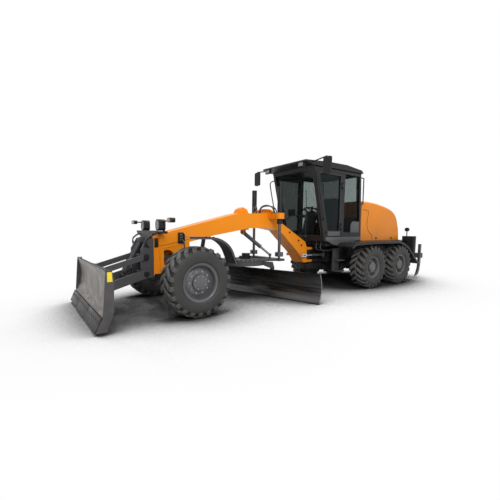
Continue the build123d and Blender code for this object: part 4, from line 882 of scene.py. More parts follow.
def rolled_sheet(bm, line, half, thick, columns=14):
    """A sheet that follows a side-view line across the machine, thick towards the front."""
    rows = []
    for k, (x, z) in enumerate(line):
        before, after = line[max(0, k - 1)], line[min(len(line) - 1, k + 1)]
        along = Vector((after[0] - before[0], 0, after[1] - before[1])).normalized()
        out = Vector((-along.z, 0, along.x))
        spread = [-half + 2 * half * c / columns for c in range(columns + 1)]
        rows.append([[bm.verts.new(at(x, y, z) + out * lift) for y in spread] for lift in (0.0, thick)])
    faces = []
    for (back_a, front_a), (back_b, front_b) in zip(rows, rows[1:]):
        for c in range(columns):
            faces.append(bm.faces.new((front_a[c], front_a[c + 1], front_b[c + 1], front_b[c])))
            faces.append(bm.faces.new((back_a[c], back_b[c], back_b[c + 1], back_a[c + 1])))
        for c in (0, columns):
            faces.append(bm.faces.new((back_a[c], front_a[c], front_b[c], back_b[c])))
    for back, front in (rows[0], rows[-1]):
        for c in range(columns):
            faces.append(bm.faces.new((back[c], back[c + 1], front[c + 1], front[c])))
    bmesh.ops.recalc_face_normals(bm, faces=faces)


bm = bmesh.new()
rolled_sheet(bm, FACE, FACE_HALF, FACE_THICK)
settle(bm, "dozer_worn_face", dozer_steel, "dozer_blade", sharp=60)
print("front blade: worn face", round(2 * FACE_HALF, 2), "m wide")

# %% [markdown]
# ## Front cutting edge
# Below the face sits the cutting edge: three replaceable bars, bolted on with a gap between them. They are
# plates here, pushed out square to the slope of the blade's foot, with a row of bolts from the bolt tree.

# %% Front cutting edge
EDGE_TOP, EDGE_FOOT = at(1.537, 0, 0.244), at(1.618, 0, 0.050)
EDGE_THICK, EDGE_BOLTS, EDGE_PITCH = 0.018, 16, 0.148
EDGE_BARS = ((-FACE_HALF, -0.402), (-0.398, 0.398), (0.402, FACE_HALF))
edge_bar = streaked_steel("dozer_edge_bar", (0.036, 0.035, 0.036), (0.075, 0.072, 0.072), 0.48, pi / 2,
                          rust=0.2, squeeze=(4.0, 30.0, 4.0))
bm = bmesh.new()
out = Vector((EDGE_FOOT.z - EDGE_TOP.z, 0, -(EDGE_FOOT.x - EDGE_TOP.x))).normalized() * -EDGE_THICK
for start, end in EDGE_BARS:
    corners = ((EDGE_TOP, start), (EDGE_TOP, end), (EDGE_FOOT, end), (EDGE_FOOT, start))
    add_plate(bm, [edge + Vector((0, y, 0)) for edge, y in corners], out, bevel=0.003)
settle(bm, "dozer_cutting_edge", edge_bar, "dozer_blade")
row = [EDGE_TOP.lerp(EDGE_FOOT, 0.34) + out + Vector((0, EDGE_PITCH * (k - (EDGE_BOLTS - 1) / 2), 0))
       for k in range(EDGE_BOLTS)]
bolt_on("dozer_edge_bolts", [(p, out.normalized()) for p in row], edge_bar, "dozer_blade", "worn_steel",
        radius=0.013, height=0.012)
print("cutting edge:", len(EDGE_BARS), "bars and", len(row), "bolts")

# %% [markdown]
# ## Front blade trim
# A small plate on each end cheek is a reflector and stays bare yellow, and a roll stiffens the blade's top.
# A plate and a straight tube are all that these need.

# %% Front blade trim
REFLECTOR = [(1.393, 0.735), (1.463, 0.735), (1.463, 0.868), (1.400, 0.868)]
yellow = finish("reflector_yellow", (0.80, 0.60, 0.02), 0.35, dust=0.1, cloud=0.05)
bm = bmesh.new()
for side in SIDES.values():
    y = side * (BLADE_HIGH.y - 0.0004)
    add_plate(bm, [at(x, y, z) for x, z in REFLECTOR], (0, side * 0.0024, 0), bevel=0.0008)
settle(bm, "dozer_end_reflectors", yellow, "dozer_blade")
bm = bmesh.new()
add_tube(bm, [at(1.465, -FACE_HALF, 0.890), at(1.465, FACE_HALF, 0.890)], 0.014, smooth=False)
settle(bm, "dozer_top_roll", charcoal, "dozer_blade")
print("trim: two", yellow.name, "plates and a top roll")

# %% [markdown]
# ## Moldboard bolts
# The long curved blade carries a bolted cutting edge along its foot. The bolts are set in pairs and follow
# the blade's own direction, sixteen degrees off square. A short formula for the arc of the blade's front
# says where each one sits, which saves measuring them one by one.

# %% Moldboard bolts
along_blade = Vector((-sin(BLADE_ANGLE), cos(BLADE_ANGLE), 0))
ahead = Vector((cos(BLADE_ANGLE), sin(BLADE_ANGLE), 0))
BLADE_CENTRE = at(-1.700, 0, 0)
BLADE_SET, BLADE_SAG, BLADE_CLEAR, BLADE_TALL = 0.205, 0.100, 0.030, 0.575
BLADE_ENDS = (-1.605, 1.750)
ROLL_R = (BLADE_TALL ** 2 / 4 + BLADE_SAG ** 2) / (2 * BLADE_SAG)


def on_blade(u, z):
    """A point on the moldboard's rolled front, u along it and z up."""
    rise = z - BLADE_CLEAR - BLADE_TALL / 2
    v = -BLADE_SET - BLADE_SAG + ROLL_R - (ROLL_R ** 2 - rise ** 2) ** 0.5
    return BLADE_CENTRE + along_blade * u + ahead * v + Vector((0, 0, z))


slope = (on_blade(0, 0.11) - on_blade(0, 0.05)).normalized()
edge_out = along_blade.cross(slope)
edge_out = edge_out if edge_out.dot(ahead) > 0 else -edge_out
PAIR_COUNT, PAIR_HALF, END_MARGIN = 14, 0.028, 0.11
BOLT_HEIGHT, BOLT_OUT = 0.085, 0.0205
pairs = []
for k in range(PAIR_COUNT):
    for shift in (-PAIR_HALF, PAIR_HALF):
        step = (BLADE_ENDS[1] - BLADE_ENDS[0] - 2 * END_MARGIN) / (PAIR_COUNT - 1)
        u = BLADE_ENDS[0] + END_MARGIN + k * step + shift
        pairs.append((on_blade(u, BOLT_HEIGHT) + edge_out * BOLT_OUT, edge_out))
bolt_on("cutting_edge_bolts", pairs, edge_steel, "moldboard", "worn_steel", radius=0.012, height=0.012)
print("moldboard:", len(pairs), "bolts")

# %% [markdown]
# ## Moldboard end highlights
# The ends of the moldboard show a bright edge. A thin round bar of paler steel along each edge is a painted
# highlight on a rounded form, and needs no change to the blade itself.

# %% Moldboard end edges
END_HEIGHTS = [0.040 + 0.055 * k for k in range(11)]
bm = bmesh.new()
# Paler steel bars along both ends: a painted highlight.
for u in BLADE_ENDS:
    add_tube(bm, [on_blade(u - 0.003 * (1 if u > 0 else -1), z) for z in END_HEIGHTS], 0.006, sides=2)
settle(bm, "moldboard_end_edges", nut_steel, "moldboard")
# The bright bars are a painted highlight.
print("moldboard ends rubbed bright over", round(END_HEIGHTS[-1] - END_HEIGHTS[0], 2), "m")

# %% [markdown]
# ## Lens and mirror finishes
# Lamp lenses are glossy coloured plastic with fine vertical ribs. Modelling every rib would cost many
# faces, so a wave texture makes them as a bump. The mirrors take a bright steel without streaks.

# %% Lens and mirror finishes
def lens_plastic(name, colour, ribs=90.0):
    """Glossy ribbed plastic for lenses."""
    made = blank_material(name)
    n = add_nodes(made.node_tree, "ShaderNode", place="TexCoord", ribs="TexWave", bump="Bump",
                  shade="MapRange", skin="BsdfPrincipled", out="OutputMaterial")
    n["ribs"].bands_direction = "Y"
    set_values(n, ribs={"Scale": ribs}, bump={"Strength": 0.35, "Distance": 0.002},
               shade={"To Min": 0.06, "To Max": 0.16}, skin={"Base Color": (*colour, 1), "Coat Weight": 0.7})
    wire(made.node_tree, n, """
        place.Object > ribs.Vector
        ribs.Fac > bump.Height
        ribs.Fac > shade.Value
        shade.Result > skin.Roughness
        bump.Normal > skin.Normal
        skin.0 > out.Surface
    """)
    return made


amber = lens_plastic("amber_lens", (0.30, 0.085, 0.012))
red_lens = lens_plastic("red_lens", (0.45, 0.012, 0.012))
clear_lens = lens_plastic("headlamp_lens", (0.17, 0.18, 0.19), ribs=60.0)
silver = streaked_steel("mirror_silver", (0.60, 0.62, 0.64), (0.66, 0.68, 0.70), 0.12, 0.0, rust=0.0,
                        squeeze=(2.0, 2.0, 2.0))
print("lenses:", amber.name, red_lens.name, clear_lens.name)

# %% [markdown]
# ## Headlamps and indicators
# Each headlamp has a grey lens in a dark rim under a small visor, and an amber indicator stands outside it.
# Lenses are thin plates with a rounded outline, worked out from four quarter circles.

# %% Headlamps and indicators
LAMP_Y, LAMP_Z, LAMP_X = 0.385, 1.525, AXLE_X + 0.422
INDICATOR = (0.116, 0.066, 0.028)
INDICATOR_Y, INDICATOR_Z = 0.915, 1.597
bm_lens, bm_rim, bm_amber = bmesh.new(), bmesh.new(), bmesh.new()


def rounded(y, z, wide, tall, r, x, steps=6):
    """Points of a rounded rectangle in a plane across the machine."""
    corners = [(1, 1, 0), (-1, 1, pi / 2), (-1, -1, pi), (1, -1, 1.5 * pi)]
    made = []
    for sy, sz, start in corners:
        for a in (start + pi / 2 * k / steps for k in range(steps + 1)):
            across = y + sy * (wide / 2 - r) + r * cos(a)
            made.append(Vector((x, across, z + sz * (tall / 2 - r) + r * sin(a))))
    return made


for side in SIDES.values():
    y = side * LAMP_Y
    add_plate(bm_lens, rounded(y, LAMP_Z, 0.126, 0.172, 0.062, LAMP_X - 0.001), (0.007, 0, 0), bevel=0.003)
    rim_line = rounded(y, LAMP_Z, 0.142, 0.189, 0.070, LAMP_X + 0.002)
    add_tube(bm_rim, rim_line, 0.0085, closed=True, smooth=False)
    add_block(bm_rim, at(0.375, y - 0.080, 1.585), at(0.412, y + 0.080, 1.6235), bevel=0.006)
    for x, push in ((0.4425, 0.007), (0.3755, -0.006)):
        outline = rounded(side * INDICATOR_Y, INDICATOR_Z, *INDICATOR, AXLE_X + x)
        add_plate(bm_amber, outline, (push, 0, 0), bevel=0.003)
settle(bm_lens, "headlamp_lenses", clear_lens, "front_unit")
settle(bm_rim, "headlamp_rims", plastic, "front_unit")
settle(bm_amber, "indicator_lenses", amber, "front_unit")
print("headlamps and indicators on", len(SIDES), "sides")

# %% [markdown]
# ## Tail lamps, mirrors and work lamps
# The tail lamps are round red lenses, so they are turned. Mirror faces and the work lamps on the roof are
# rounded plates again, laid on the solids that hold them.

# %% Tail lamps, mirrors and work lamps
MIRROR_X, WORK_LAMP_X = AXLE_X - 3.090, AXLE_X - 2.900
TAIL_LENS = [(0.052, -0.001), (0.052, 0.004), (0.046, 0.010), (0.028, 0.014), (0.0, 0.015)]
bm_red, bm_glass, bm_roof = bmesh.new(), bmesh.new(), bmesh.new()
TAIL_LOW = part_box("lamps_rear")[0]
for side in SIDES.values():
    add_turned(bm_red, Vector((TAIL_LOW.x + 0.001, side * 0.720, 1.500)), (-1, 0, 0), TAIL_LENS)
    face = rounded(side * 1.160, 2.840, 0.178, 0.328, 0.032, MIRROR_X + 0.0005)
    add_plate(bm_glass, face, (-0.004, 0, 0), bevel=0.001)
    work_lamp = rounded(side * 0.560, 2.932, 0.130, 0.078, 0.018, WORK_LAMP_X - 0.0005)
    add_plate(bm_roof, work_lamp, (0.006, 0, 0), bevel=0.002)
settle(bm_red, "tail_lamp_lenses", red_lens, "rear_unit")
settle(bm_glass, "mirror_faces", silver, "rear_unit")
settle(bm_roof, "work_lamp_lenses", clear_lens, "rear_unit")
print("tail lamps, mirrors and work lamps on", len(SIDES), "sides")

# %% [markdown]
# ## Cab walls
# The cab is a dark frame with large panes, and its front and back slope. Trim that is laid on the walls has
# to repeat that slope, so two short functions say where the front and the back stand at any height.

# %% Cab walls
CAB_FLOOR, CAB_TALL = 1.190, 1.740
WALL_Y, SEAL_Y, MOULDING_Y = 0.7005, 0.699, 0.682


def cab_front(z):
    """Where the sloping front of the cab stands at a height."""
    return -3.640 + (z - CAB_FLOOR) / CAB_TALL * 0.440


def cab_rear(z):
    """Where the sloping back of the cab stands at a height."""
    return -5.130 + (z - CAB_FLOOR) / CAB_TALL * 0.090


def on_side(outline, y):
    """Points of a side-view outline at one distance from the middle plane."""
    return [at(x, y, z) for x, z in outline]


def add_gasket(bm, corners):
    """A closed rubber strip through corner points."""
    add_tube(bm, corners, 0.009, closed=True, smooth=False)


print("cab front at the floor and the roof:", cab_front(CAB_FLOOR), cab_front(CAB_FLOOR + CAB_TALL))

# %% [markdown]
# ## Skirt, gaskets and handrails
# The cab's lower edge carries a grey moulded skirt, each pane sits in a rubber gasket, and two handrails
# stand beside the windscreen. Skirt and mouldings are plates cut to the wall's outline, and gaskets and
# rails are tubes.

# %% Skirt, gaskets and handrails
SKIRT = [(-3.680, 1.205), (-3.662, 1.292), (-5.088, 1.292), (-5.093, 1.205), (-4.832, 1.192), (-4.812, 1.032),
         (-3.972, 1.106), (-3.745, 1.196)]
MOULDING = [(-4.66, 1.405), (-4.66, 1.60), (-4.70, 1.668), (-4.76, 1.69), (-5.02, 1.69), (-5.032, 1.405)]
SCREEN = [(0.62, 1.33), (0.62, 2.85), (-0.62, 2.85), (-0.62, 1.33)]
RAIL = [(2.76, 0.0, 0.70), (2.74, 0.10, 0.79), (2.60, 0.11, 0.80), (2.20, 0.11, 0.80), (1.84, 0.10, 0.80),
        (1.72, 0.08, 0.79), (1.70, 0.0, 0.70)]
REAR_LIGHT = [(-4.34, 1.40), (cab_rear(1.40) + 0.08, 1.40), (cab_rear(2.85) + 0.08, 2.85), (-4.34, 2.85)]
bm_skirt, bm_seal, bm_rail = bmesh.new(), bmesh.new(), bmesh.new()
for side in SIDES.values():
    add_plate(bm_skirt, on_side(SKIRT, side * WALL_Y), (0, side * 0.011, 0), bevel=0.004)
    add_plate(bm_skirt, on_side(MOULDING, side * MOULDING_Y), (0, side * 0.014, 0), bevel=0.005)
    add_gasket(bm_seal, on_side(REAR_LIGHT, side * SEAL_Y))
    add_tube(bm_rail, [at(cab_front(z) + ahead_by - 0.05, side * y, z) for z, ahead_by, y in RAIL], 0.014)
add_gasket(bm_seal, [at(cab_front(z) - 0.002, y, z) for y, z in SCREEN])
settle(bm_rail, "front_handrails", black, "rear_unit")
settle(bm_skirt, "cab_skirt_panels", skirt_grey, "rear_unit")
settle(bm_seal, "cab_gaskets", plastic, "rear_unit")
print("skirt with", len(SKIRT), "corners, gaskets and two handrails")

# %% [markdown]
# ## Door trim
# Each door has a low grey panel under its pane and a gasket round it. They are pieces of their own, and not
# part of the skirt, because they swing with the door.

# %% Door trim
DOOR_PANEL = [(-3.742, 1.318), (-3.722, 1.428), (-4.205, 1.428), (-4.205, 1.318)]
DOOR_LIGHT = [(cab_front(1.44) - 0.155, 1.44), (-4.18, 1.44), (-4.18, 2.78), (cab_front(2.78) - 0.155, 2.78)]
for label, side in SIDES.items():
    bm_low, bm_seal = bmesh.new(), bmesh.new()
    add_plate(bm_low, on_side(DOOR_PANEL, side * WALL_Y), (0, side * 0.008, 0), bevel=0.003)
    add_gasket(bm_seal, on_side(DOOR_LIGHT, side * SEAL_Y))
    settle(bm_low, f"door_panel_{label}", skirt_grey, f"door_{label}")
    settle(bm_seal, f"door_gasket_{label}", plastic, f"door_{label}")
print("door trim on", len(SIDES), "doors")

# %% [markdown]
# ## Levers, screen and wiper
# The driver works the machine with two fans of levers beside the steering wheel. A screen stands by the
# front post, two pedals on the floor, and a wiper parks on the windscreen. Most of this shows only dimly
# through the glass, so bent bars, blocks and turned knobs are enough.

# %% Levers, screen and wiper
POD_Y, PEDAL_Y, LEVER_COUNT = 0.255, 0.12, 4
KNOB = [(0.0, -0.018), (0.011, -0.014), (0.016, -0.004), (0.015, 0.006), (0.009, 0.015), (0.0, 0.018)]
WIPER_HUB = [(0.030, 0.0), (0.030, 0.012), (0.018, 0.024), (0.0, 0.026)]
WIPER_ARM = [(0.012, 0.14, 1.300), (0.020, 0.17, 1.45), (0.016, 0.30, 2.05)]


def add_bar(bm, points, radius):
    """A bent bar through points measured from the front axle."""
    add_tube(bm, [at(*p) for p in points], radius)


bm_pod, bm_knob, bm_wiper = bmesh.new(), bmesh.new(), bmesh.new()
for side in SIDES.values():
    y = side * POD_Y
    stem = [(-3.74, side * 0.20, 1.245), (-3.78, side * 0.22, 1.55), (-3.85, side * 0.25, 1.80)]
    add_bar(bm_pod, stem, 0.030)
    add_block(bm_pod, at(-3.935, y - 0.105, 1.79), at(-3.765, y + 0.105, 1.865), bevel=0.018)
    for k in range(LEVER_COUNT):
        y = side * (0.180 + 0.050 * k)
        add_bar(bm_pod, [(-3.86, y, 1.86), (-3.872, y, 1.94), (-3.905, y * 1.02, 2.005)], 0.006)
        add_turned(bm_knob, at(-3.910, y * 1.02, 2.015), (-0.35, 0, 1), KNOB, 16)
    y = side * PEDAL_Y
    add_bar(bm_pod, [(-3.79, side * 0.06, 1.245), (-3.74, y, 1.30), (-3.70, y, 1.36)], 0.010)
    add_block(bm_pod, at(-3.735, y - 0.045, 1.325), at(-3.685, y + 0.045, 1.43), bevel=0.008)
add_bar(bm_pod, [(-3.62, -0.56, 1.72), (-3.66, -0.52, 1.80), (-3.70, -0.47, 1.86)], 0.014)
add_block(bm_pod, at(-3.735, -0.585, 1.84), at(-3.690, -0.355, 2.02), bevel=0.012)
settle(bm_pod, "lever_pods_and_screen", plastic, "rear_unit")
settle(bm_knob, "lever_knobs", black, "rear_unit")
add_bar(bm_wiper, [(cab_front(z) + off, y, z) for off, y, z in WIPER_ARM], 0.008)
add_bar(bm_wiper, [(cab_front(z) + 0.002, 0.30 + 0.15 * (z - 2.05), z) for z in (1.70, 2.05, 2.42)], 0.009)
add_turned(bm_wiper, at(cab_front(1.30) - 0.002, 0.14, 1.300), (1, 0, 0.25), WIPER_HUB)
settle(bm_wiper, "windscreen_wiper", plastic, "rear_unit")
print("levers with", 2 * LEVER_COUNT, "knobs, pedals, screen and wiper")

# %% [markdown]
# ## Units under the floor
# Under the cab hang the valve block, the gear housing, a shaft and two tanks, which close the view through
# the frame. Only their outlines show in the shade, so they are plain blocks with soft edges, ribs and
# bands.

# %% Units under the floor
UNITS = [
    ((-4.130, -0.600, 1.068), (-3.790, 0.600, 1.186), 0.014),
    ((-4.880, -0.236, 0.715), (-4.285, 0.236, 1.165), 0.045),
    ((-4.760, -0.190, 0.400), (-4.230, 0.190, 0.722), 0.040),
    ((-4.250, -0.160, 0.440), (-3.660, 0.160, 0.612), 0.035),
]
TANK_Y, RIB_COUNT, SPOOL_COUNT = 0.470, 6, 9
SPOOL_CAP = [(0.030, 0.0), (0.030, 0.012), (0.021, 0.014), (0.021, 0.026), (0.0, 0.028)]
bm_under, bm_spool = bmesh.new(), bmesh.new()
for low, high, bevel in UNITS:
    add_block(bm_under, at(*low), at(*high), bevel)
add_tube(bm_under, [at(-4.74, 0, 0.60), at(-5.10, 0, 0.58), at(-5.43, 0, 0.555)], 0.060, sides=6)
for x in (-4.83 + 0.10 * k for k in range(RIB_COUNT)):
    add_block(bm_under, at(x, -0.243, 0.760), at(x + 0.022, 0.243, 1.130), bevel=0.006)
for y in (side * TANK_Y for side in SIDES.values()):
    add_block(bm_under, at(-4.780, y - 0.115, 0.720), at(-4.375, y + 0.115, 1.160), bevel=0.040)
    for x in (-4.70, -4.47):
        add_block(bm_under, at(x, y - 0.121, 0.714), at(x + 0.045, y + 0.121, 1.166), bevel=0.020)
for k in range(SPOOL_COUNT):
    add_turned(bm_spool, at(-3.792, -0.52 + 0.13 * k, 1.125), (1, 0, 0), SPOOL_CAP, 20)
settle(bm_under, "units_under_the_cab", black, "rear_unit")
settle(bm_spool, "valve_caps", plastic, "rear_unit")
print("under the floor:", len(UNITS), "housings, two tanks, a shaft and", SPOOL_COUNT, "valve caps")

# %% [markdown]
# ## Front fender line
# A front fender is one rolled sheet with a lip turned down along its outer edge. The solid bends the sheet
# at two lines. This piece keeps the same flats and rounds each bend between them by a quadratic curve,
# which meets the flats without a kink.

# %% Front fender line
FENDER_LINE = [(0.205, 1.335), (-0.330, 1.325), (-0.580, 1.180), (-0.720, 0.860)]
FENDER_INNER, FENDER_OUTER = 0.850, 1.195
FENDER_SHEET, FENDER_LIP, FENDER_BEAD = 0.008, 0.038, 0.006
BEND_REACH = 0.140


def rolled(line, reach, steps=8):
    """A side-view line whose bends are rounded, each as far as reach along the flats beside it."""
    made = [Vector(line[0])]
    for before, corner, after in zip(line, line[1:], line[2:]):
        a, b, c = Vector(before), Vector(corner), Vector(after)
        start, end = b + (a - b).normalized() * reach, b + (c - b).normalized() * reach
        for t in (k / steps for k in range(steps + 1)):
            made.append(start * (1 - t) ** 2 + b * (2 * t * (1 - t)) + end * t ** 2)
    return made + [Vector(line[-1])]


def sunk(line, depth):
    """The same line moved square to itself, toward the wheel."""
    moved = []
    for k, spot in enumerate(line):
        run = (line[min(k + 1, len(line) - 1)] - line[max(k - 1, 0)]).normalized()
        moved.append(spot + Vector((-run.y, run.x)) * depth)
    return moved


top_line = rolled(FENDER_LINE, BEND_REACH)
print("fender line of", len(top_line), "points")

# %% [markdown]
# ## Rolled fenders
# Sheet and lip are two plates along that line. Rolled beads stiffen the lip, and three bolts hold the sheet
# to its bracket. Bolts ride on the knuckle like the fender, because both turn with the wheel.

# %% Rolled fenders
for label, side in SIDES.items():
    bm = bmesh.new()
    for depth, inner in ((FENDER_SHEET, FENDER_INNER), (FENDER_LIP, FENDER_OUTER - FENDER_SHEET)):
        outline = top_line + sunk(top_line, depth)[::-1]
        add_plate(bm, on_side(outline, side * inner), (0, side * (FENDER_OUTER - inner), 0), bevel=0)
    for depth in (FENDER_BEAD, FENDER_LIP - FENDER_BEAD):
        bead = on_side(sunk(top_line, depth), side * (FENDER_OUTER - FENDER_BEAD))
        add_tube(bm, bead, FENDER_BEAD, smooth=False)
    sheet = settle(bm, f"rolled_fender_{label}", charcoal, f"knuckle_{label}", sharp=40)
    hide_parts(f"fender_front_{label}")
    heads = [(at(-0.255, side * y, 1.3255), (0, 0, 1)) for y in (0.900, 1.020, 1.140)]
    bolt_on(f"fender_bolts_{label}", heads, black, f"knuckle_{label}", "black_paint", radius=0.012,
            height=0.016)
print("fenders on", len(SIDES), "knuckles with", len(heads), "bolts each")

# %% [markdown]
# ## Seat cloth
# The seat is covered with a dark woven cloth. Threads are far too fine to model, so two crossed wave
# textures make the pattern, its tone and its bump.

# %% Seat cloth
def woven(name, colour, threads=260.0):
    """Cloth of two crossed sets of threads."""
    made = blank_material(name)
    n = add_nodes(made.node_tree, "ShaderNode", place="TexCoord", warp="TexWave", weft="TexWave",
                  cross="Math", tint="Mix", bump="Bump", skin="BsdfPrincipled", out="OutputMaterial")
    n["warp"].bands_direction, n["weft"].bands_direction = "Y", "DIAGONAL"
    n["cross"].operation = "MULTIPLY"
    n["tint"].data_type = "RGBA"
    set_values(n, warp={"Scale": threads}, weft={"Scale": threads}, bump={"Strength": 0.3, "Distance": 0.002},
               tint={"A": (*[c * 0.6 for c in colour], 1), "B": (*[c * 1.3 for c in colour], 1)},
               skin={"Roughness": 0.9, "Sheen Weight": 0.25})
    wire(made.node_tree, n, """
        place.Object > warp.Vector
        place.Object > weft.Vector
        warp.Fac > cross.0
        weft.Fac > cross.1
        cross.0 > tint.Factor
        tint.Result > skin.Base Color
        cross.0 > bump.Height
        bump.Normal > skin.Normal
        skin.0 > out.Surface
    """)
    return made


cloth = woven("seat_cloth", (0.040, 0.042, 0.046))
print("cloth:", cloth.name)

# %% [markdown]
# ## Cushions
# Cushion and back are foam under cloth, thick in the middle and drawn in along two seams. A cloth
# simulation would do it, but the seat shows only behind glass. A fine box grid that a formula rounds like a
# pillow gives the same closed form each time.

# %% Cushions
def add_cushion(bm, centre, half, lean, crown, seams):
    """A padded block: a box grid rounded like a pillow, raised in the middle and drawn in along its seams."""
    start = len(bm.verts)
    corners = bmesh.ops.create_cube(bm, size=2.0)["verts"]
    edges = list({e for v in corners for e in v.link_edges})
    bmesh.ops.subdivide_edges(bm, edges=edges, cuts=25, use_grid_fill=True)
    bm.verts.ensure_lookup_table()
    turn = Matrix.Rotation(lean, 3, "Y")
    for v in bm.verts[start:]:
        x, y, z = v.co
        x, y, z = Vector((x, y, z)) * (max(abs(x), abs(y), abs(z)) / (x ** 6 + y ** 6 + z ** 6) ** (1 / 6))
        if z > 0.2:
            dip = sum(exp(-((y - s) / 0.045) ** 2) for s in seams)
            z += crown * (1 - x * x) * (1 - y * y) - 0.16 * dip * (1 - x ** 8)
        v.co = Vector(centre) + turn @ Vector((x * half[0], y * half[1], z * half[2]))


print("cushions:", add_cushion.__doc__)

# %% [markdown]
# ## Seat
# The seat stands on a folded rubber boot, with an armrest on each side. The boot is a turned part with a
# zigzag profile.

# %% Seat
SEAT_X, ARM_Y = -4.45, 0.285
SEAMS = (-0.55, 0.55)
BOOT = [(0.255, 0.0), (0.255, 0.02), (0.205, 0.045), (0.245, 0.075), (0.195, 0.105), (0.235, 0.135),
        (0.185, 0.165), (0.225, 0.195), (0.180, 0.225), (0.215, 0.25), (0.215, 0.285)]
BOOT_SHARE = 0.86
bm_cloth, bm_back, bm_boot = bmesh.new(), bmesh.new(), bmesh.new()
add_cushion(bm_cloth, at(SEAT_X, 0, 1.590), (0.258, 0.248, 0.068), 0.0, 0.25, SEAMS)
add_cushion(bm_back, at(SEAT_X - 0.243, 0, 1.985), (0.345, 0.238, 0.058), radians(-98.4) + pi, 0.35, SEAMS)
add_turned(bm_boot, at(SEAT_X, 0, 1.240), (0, 0, 1), [(r * BOOT_SHARE, h) for r, h in BOOT], 40)
for side in SIDES.values():
    y = side * ARM_Y
    add_block(bm_boot, at(SEAT_X - 0.19, y - 0.032, 1.765), at(SEAT_X + 0.13, y + 0.032, 1.825), bevel=0.020)
    strut = [(-0.17, y, 1.78), (-0.20, side * 0.275, 1.72), (-0.21, side * 0.235, 1.66)]
    add_bar(bm_boot, [(SEAT_X + x, y, z) for x, y, z in strut], 0.016)
cushion = settle(bm_cloth, "seat_cushion", cloth, "rear_unit", sharp=60)
back = settle(bm_back, "seat_back", cloth, "rear_unit", sharp=60)
settle(bm_boot, "seat_boot_and_armrests", plastic, "rear_unit")
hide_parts("seat")
print("seat:", len(cushion.data.polygons) + len(back.data.polygons), "faces of padding")

# %% [markdown]
# ## Hood seams and latches
# A dark curved seam parts the hood's side from its front band, and two latches hold each side down. A
# groove would have to be cut into the solid, so the seam is a thin dark tube sunk half into the wall.

# %% Hood seams and latches
HOOD_Y = 0.600
SEAM = [(-5.330, 2.020), (-5.520, 2.015), (-5.600, 1.960), (-5.545, 1.800), (-5.520, 1.620), (-5.600, 1.440),
        (-5.760, 1.360), (-5.800, 1.290), (-5.810, 1.200)]
bm_seam, bm_latch = bmesh.new(), bmesh.new()
for side in SIDES.values():
    add_tube(bm_seam, on_side(SEAM, side * (HOOD_Y - 0.0005)), 0.0065)
    y = side * HOOD_Y
    for x in (-6.05, -6.85):
        add_block(bm_latch, at(x, y - 0.010, 1.225), at(x + 0.085, y + 0.010, 1.275), bevel=0.006)
settle(bm_seam, "hood_seams", black, "hood")
settle(bm_latch, "hood_latches", plastic, "hood")
print("hood: two seams of", len(SEAM), "points and four latches")

# %% [markdown]
# ## Neck brackets, bolts and painted shade
# The neck carries a hose bulkhead by the front axle and bolts on its plates and on the saddle. A black plate
# in the recess behind the nose plate is painted shade, and a thin black line along the neck's lower edge is a
# painted shadow line. All are thin or small, so they are plates, tubes and bolts laid on the solid's sides.

# %% Neck brackets and bolts
NECK_Y = 0.1905
BULKHEAD = [(-0.05, 1.185), (-0.05, 1.395), (-0.17, 1.395), (-0.17, 1.185)]
PAINTED_SHADE_PLATE = [(0.330, 1.125), (0.330, 1.300), (0.412, 1.290), (0.412, 1.125)]
PAINTED_SHADOW_LINE = [(0.300, 1.150), (-0.040, 1.213), (-0.290, 1.268)]
FITTING = [(0.019, 0.0), (0.019, 0.018), (0.014, 0.020), (0.014, 0.044), (0.0, 0.046)]
bm_bracket, bm_painted_shade, bm_fit = bmesh.new(), bmesh.new(), bmesh.new()
plates = []
for side in SIDES.values():
    add_plate(bm_bracket, on_side(BULKHEAD, side * NECK_Y), (0, side * 0.012, 0), bevel=0.004)
    y = side * 0.228
    for x in (-0.058, -0.162):
        add_block(bm_bracket, at(x - 0.008, y - 0.030, 1.215), at(x + 0.008, y + 0.030, 1.365), bevel=0.004)
    for k in range(3):
        add_turned(bm_fit, at(-0.110, side * 0.203, 1.245 + 0.048 * k), (0, side, 0), FITTING, 18)
    # A black plate in the recess behind the nose plate: painted shade.
    add_plate(bm_painted_shade, on_side(PAINTED_SHADE_PLATE, side * 0.1785), (0, side * 0.004, 0), bevel=0.0015)
    # A thin black line under the neck's lower edge: painted shadow line.
    add_tube(bm_painted_shade, on_side(PAINTED_SHADOW_LINE, side * 0.190), 0.004, smooth=False)
    neck_spots = on_side([(-3.30, 1.20), (-3.40, 1.08), (-2.98, 1.40)], side * NECK_Y)
    plates += [(spot, (0, side, 0)) for spot in neck_spots]
    plates += [(at(0.462, side * 0.205, z), (1, 0, 0)) for z in (0.68, 0.80, 1.16, 1.28)]
clamps = [(at(-2.40 + x, y, 1.830), (0, 0, 1)) for x in (-0.07, 0.07) for y in (-0.345, -0.285, 0.285, 0.345)]
clamps += [(at(-2.40 + x, y, 1.850), (0, 0, 1)) for x in (-0.08, 0.08) for y in (-0.20, 0.20)]
bolt_on("saddle_bolts", clamps, black, "front_unit", "black_paint", radius=0.015, height=0.026)
settle(bm_bracket, "hose_bulkheads", black, "front_unit")
settle(bm_painted_shade, "nose_pockets", black, "front_unit")
settle(bm_fit, "bulkhead_fittings", rod_steel, "front_unit")
bolt_on("neck_bolts", plates, black, "front_unit", "black_paint", radius=0.016, height=0.022)
print("neck: two bulkheads,", len(plates), "neck bolts and", len(clamps), "saddle bolts")

# %% [markdown]
# ## Hoses
# Oil reaches the lift cylinders, the front axle and the front blade through thick rubber hoses, and more
# hang under the cab. Each hose is a smooth NURBS line between two fittings, with points given one by one so
# that it stays clear of the moving parts. Its length is measured and printed.

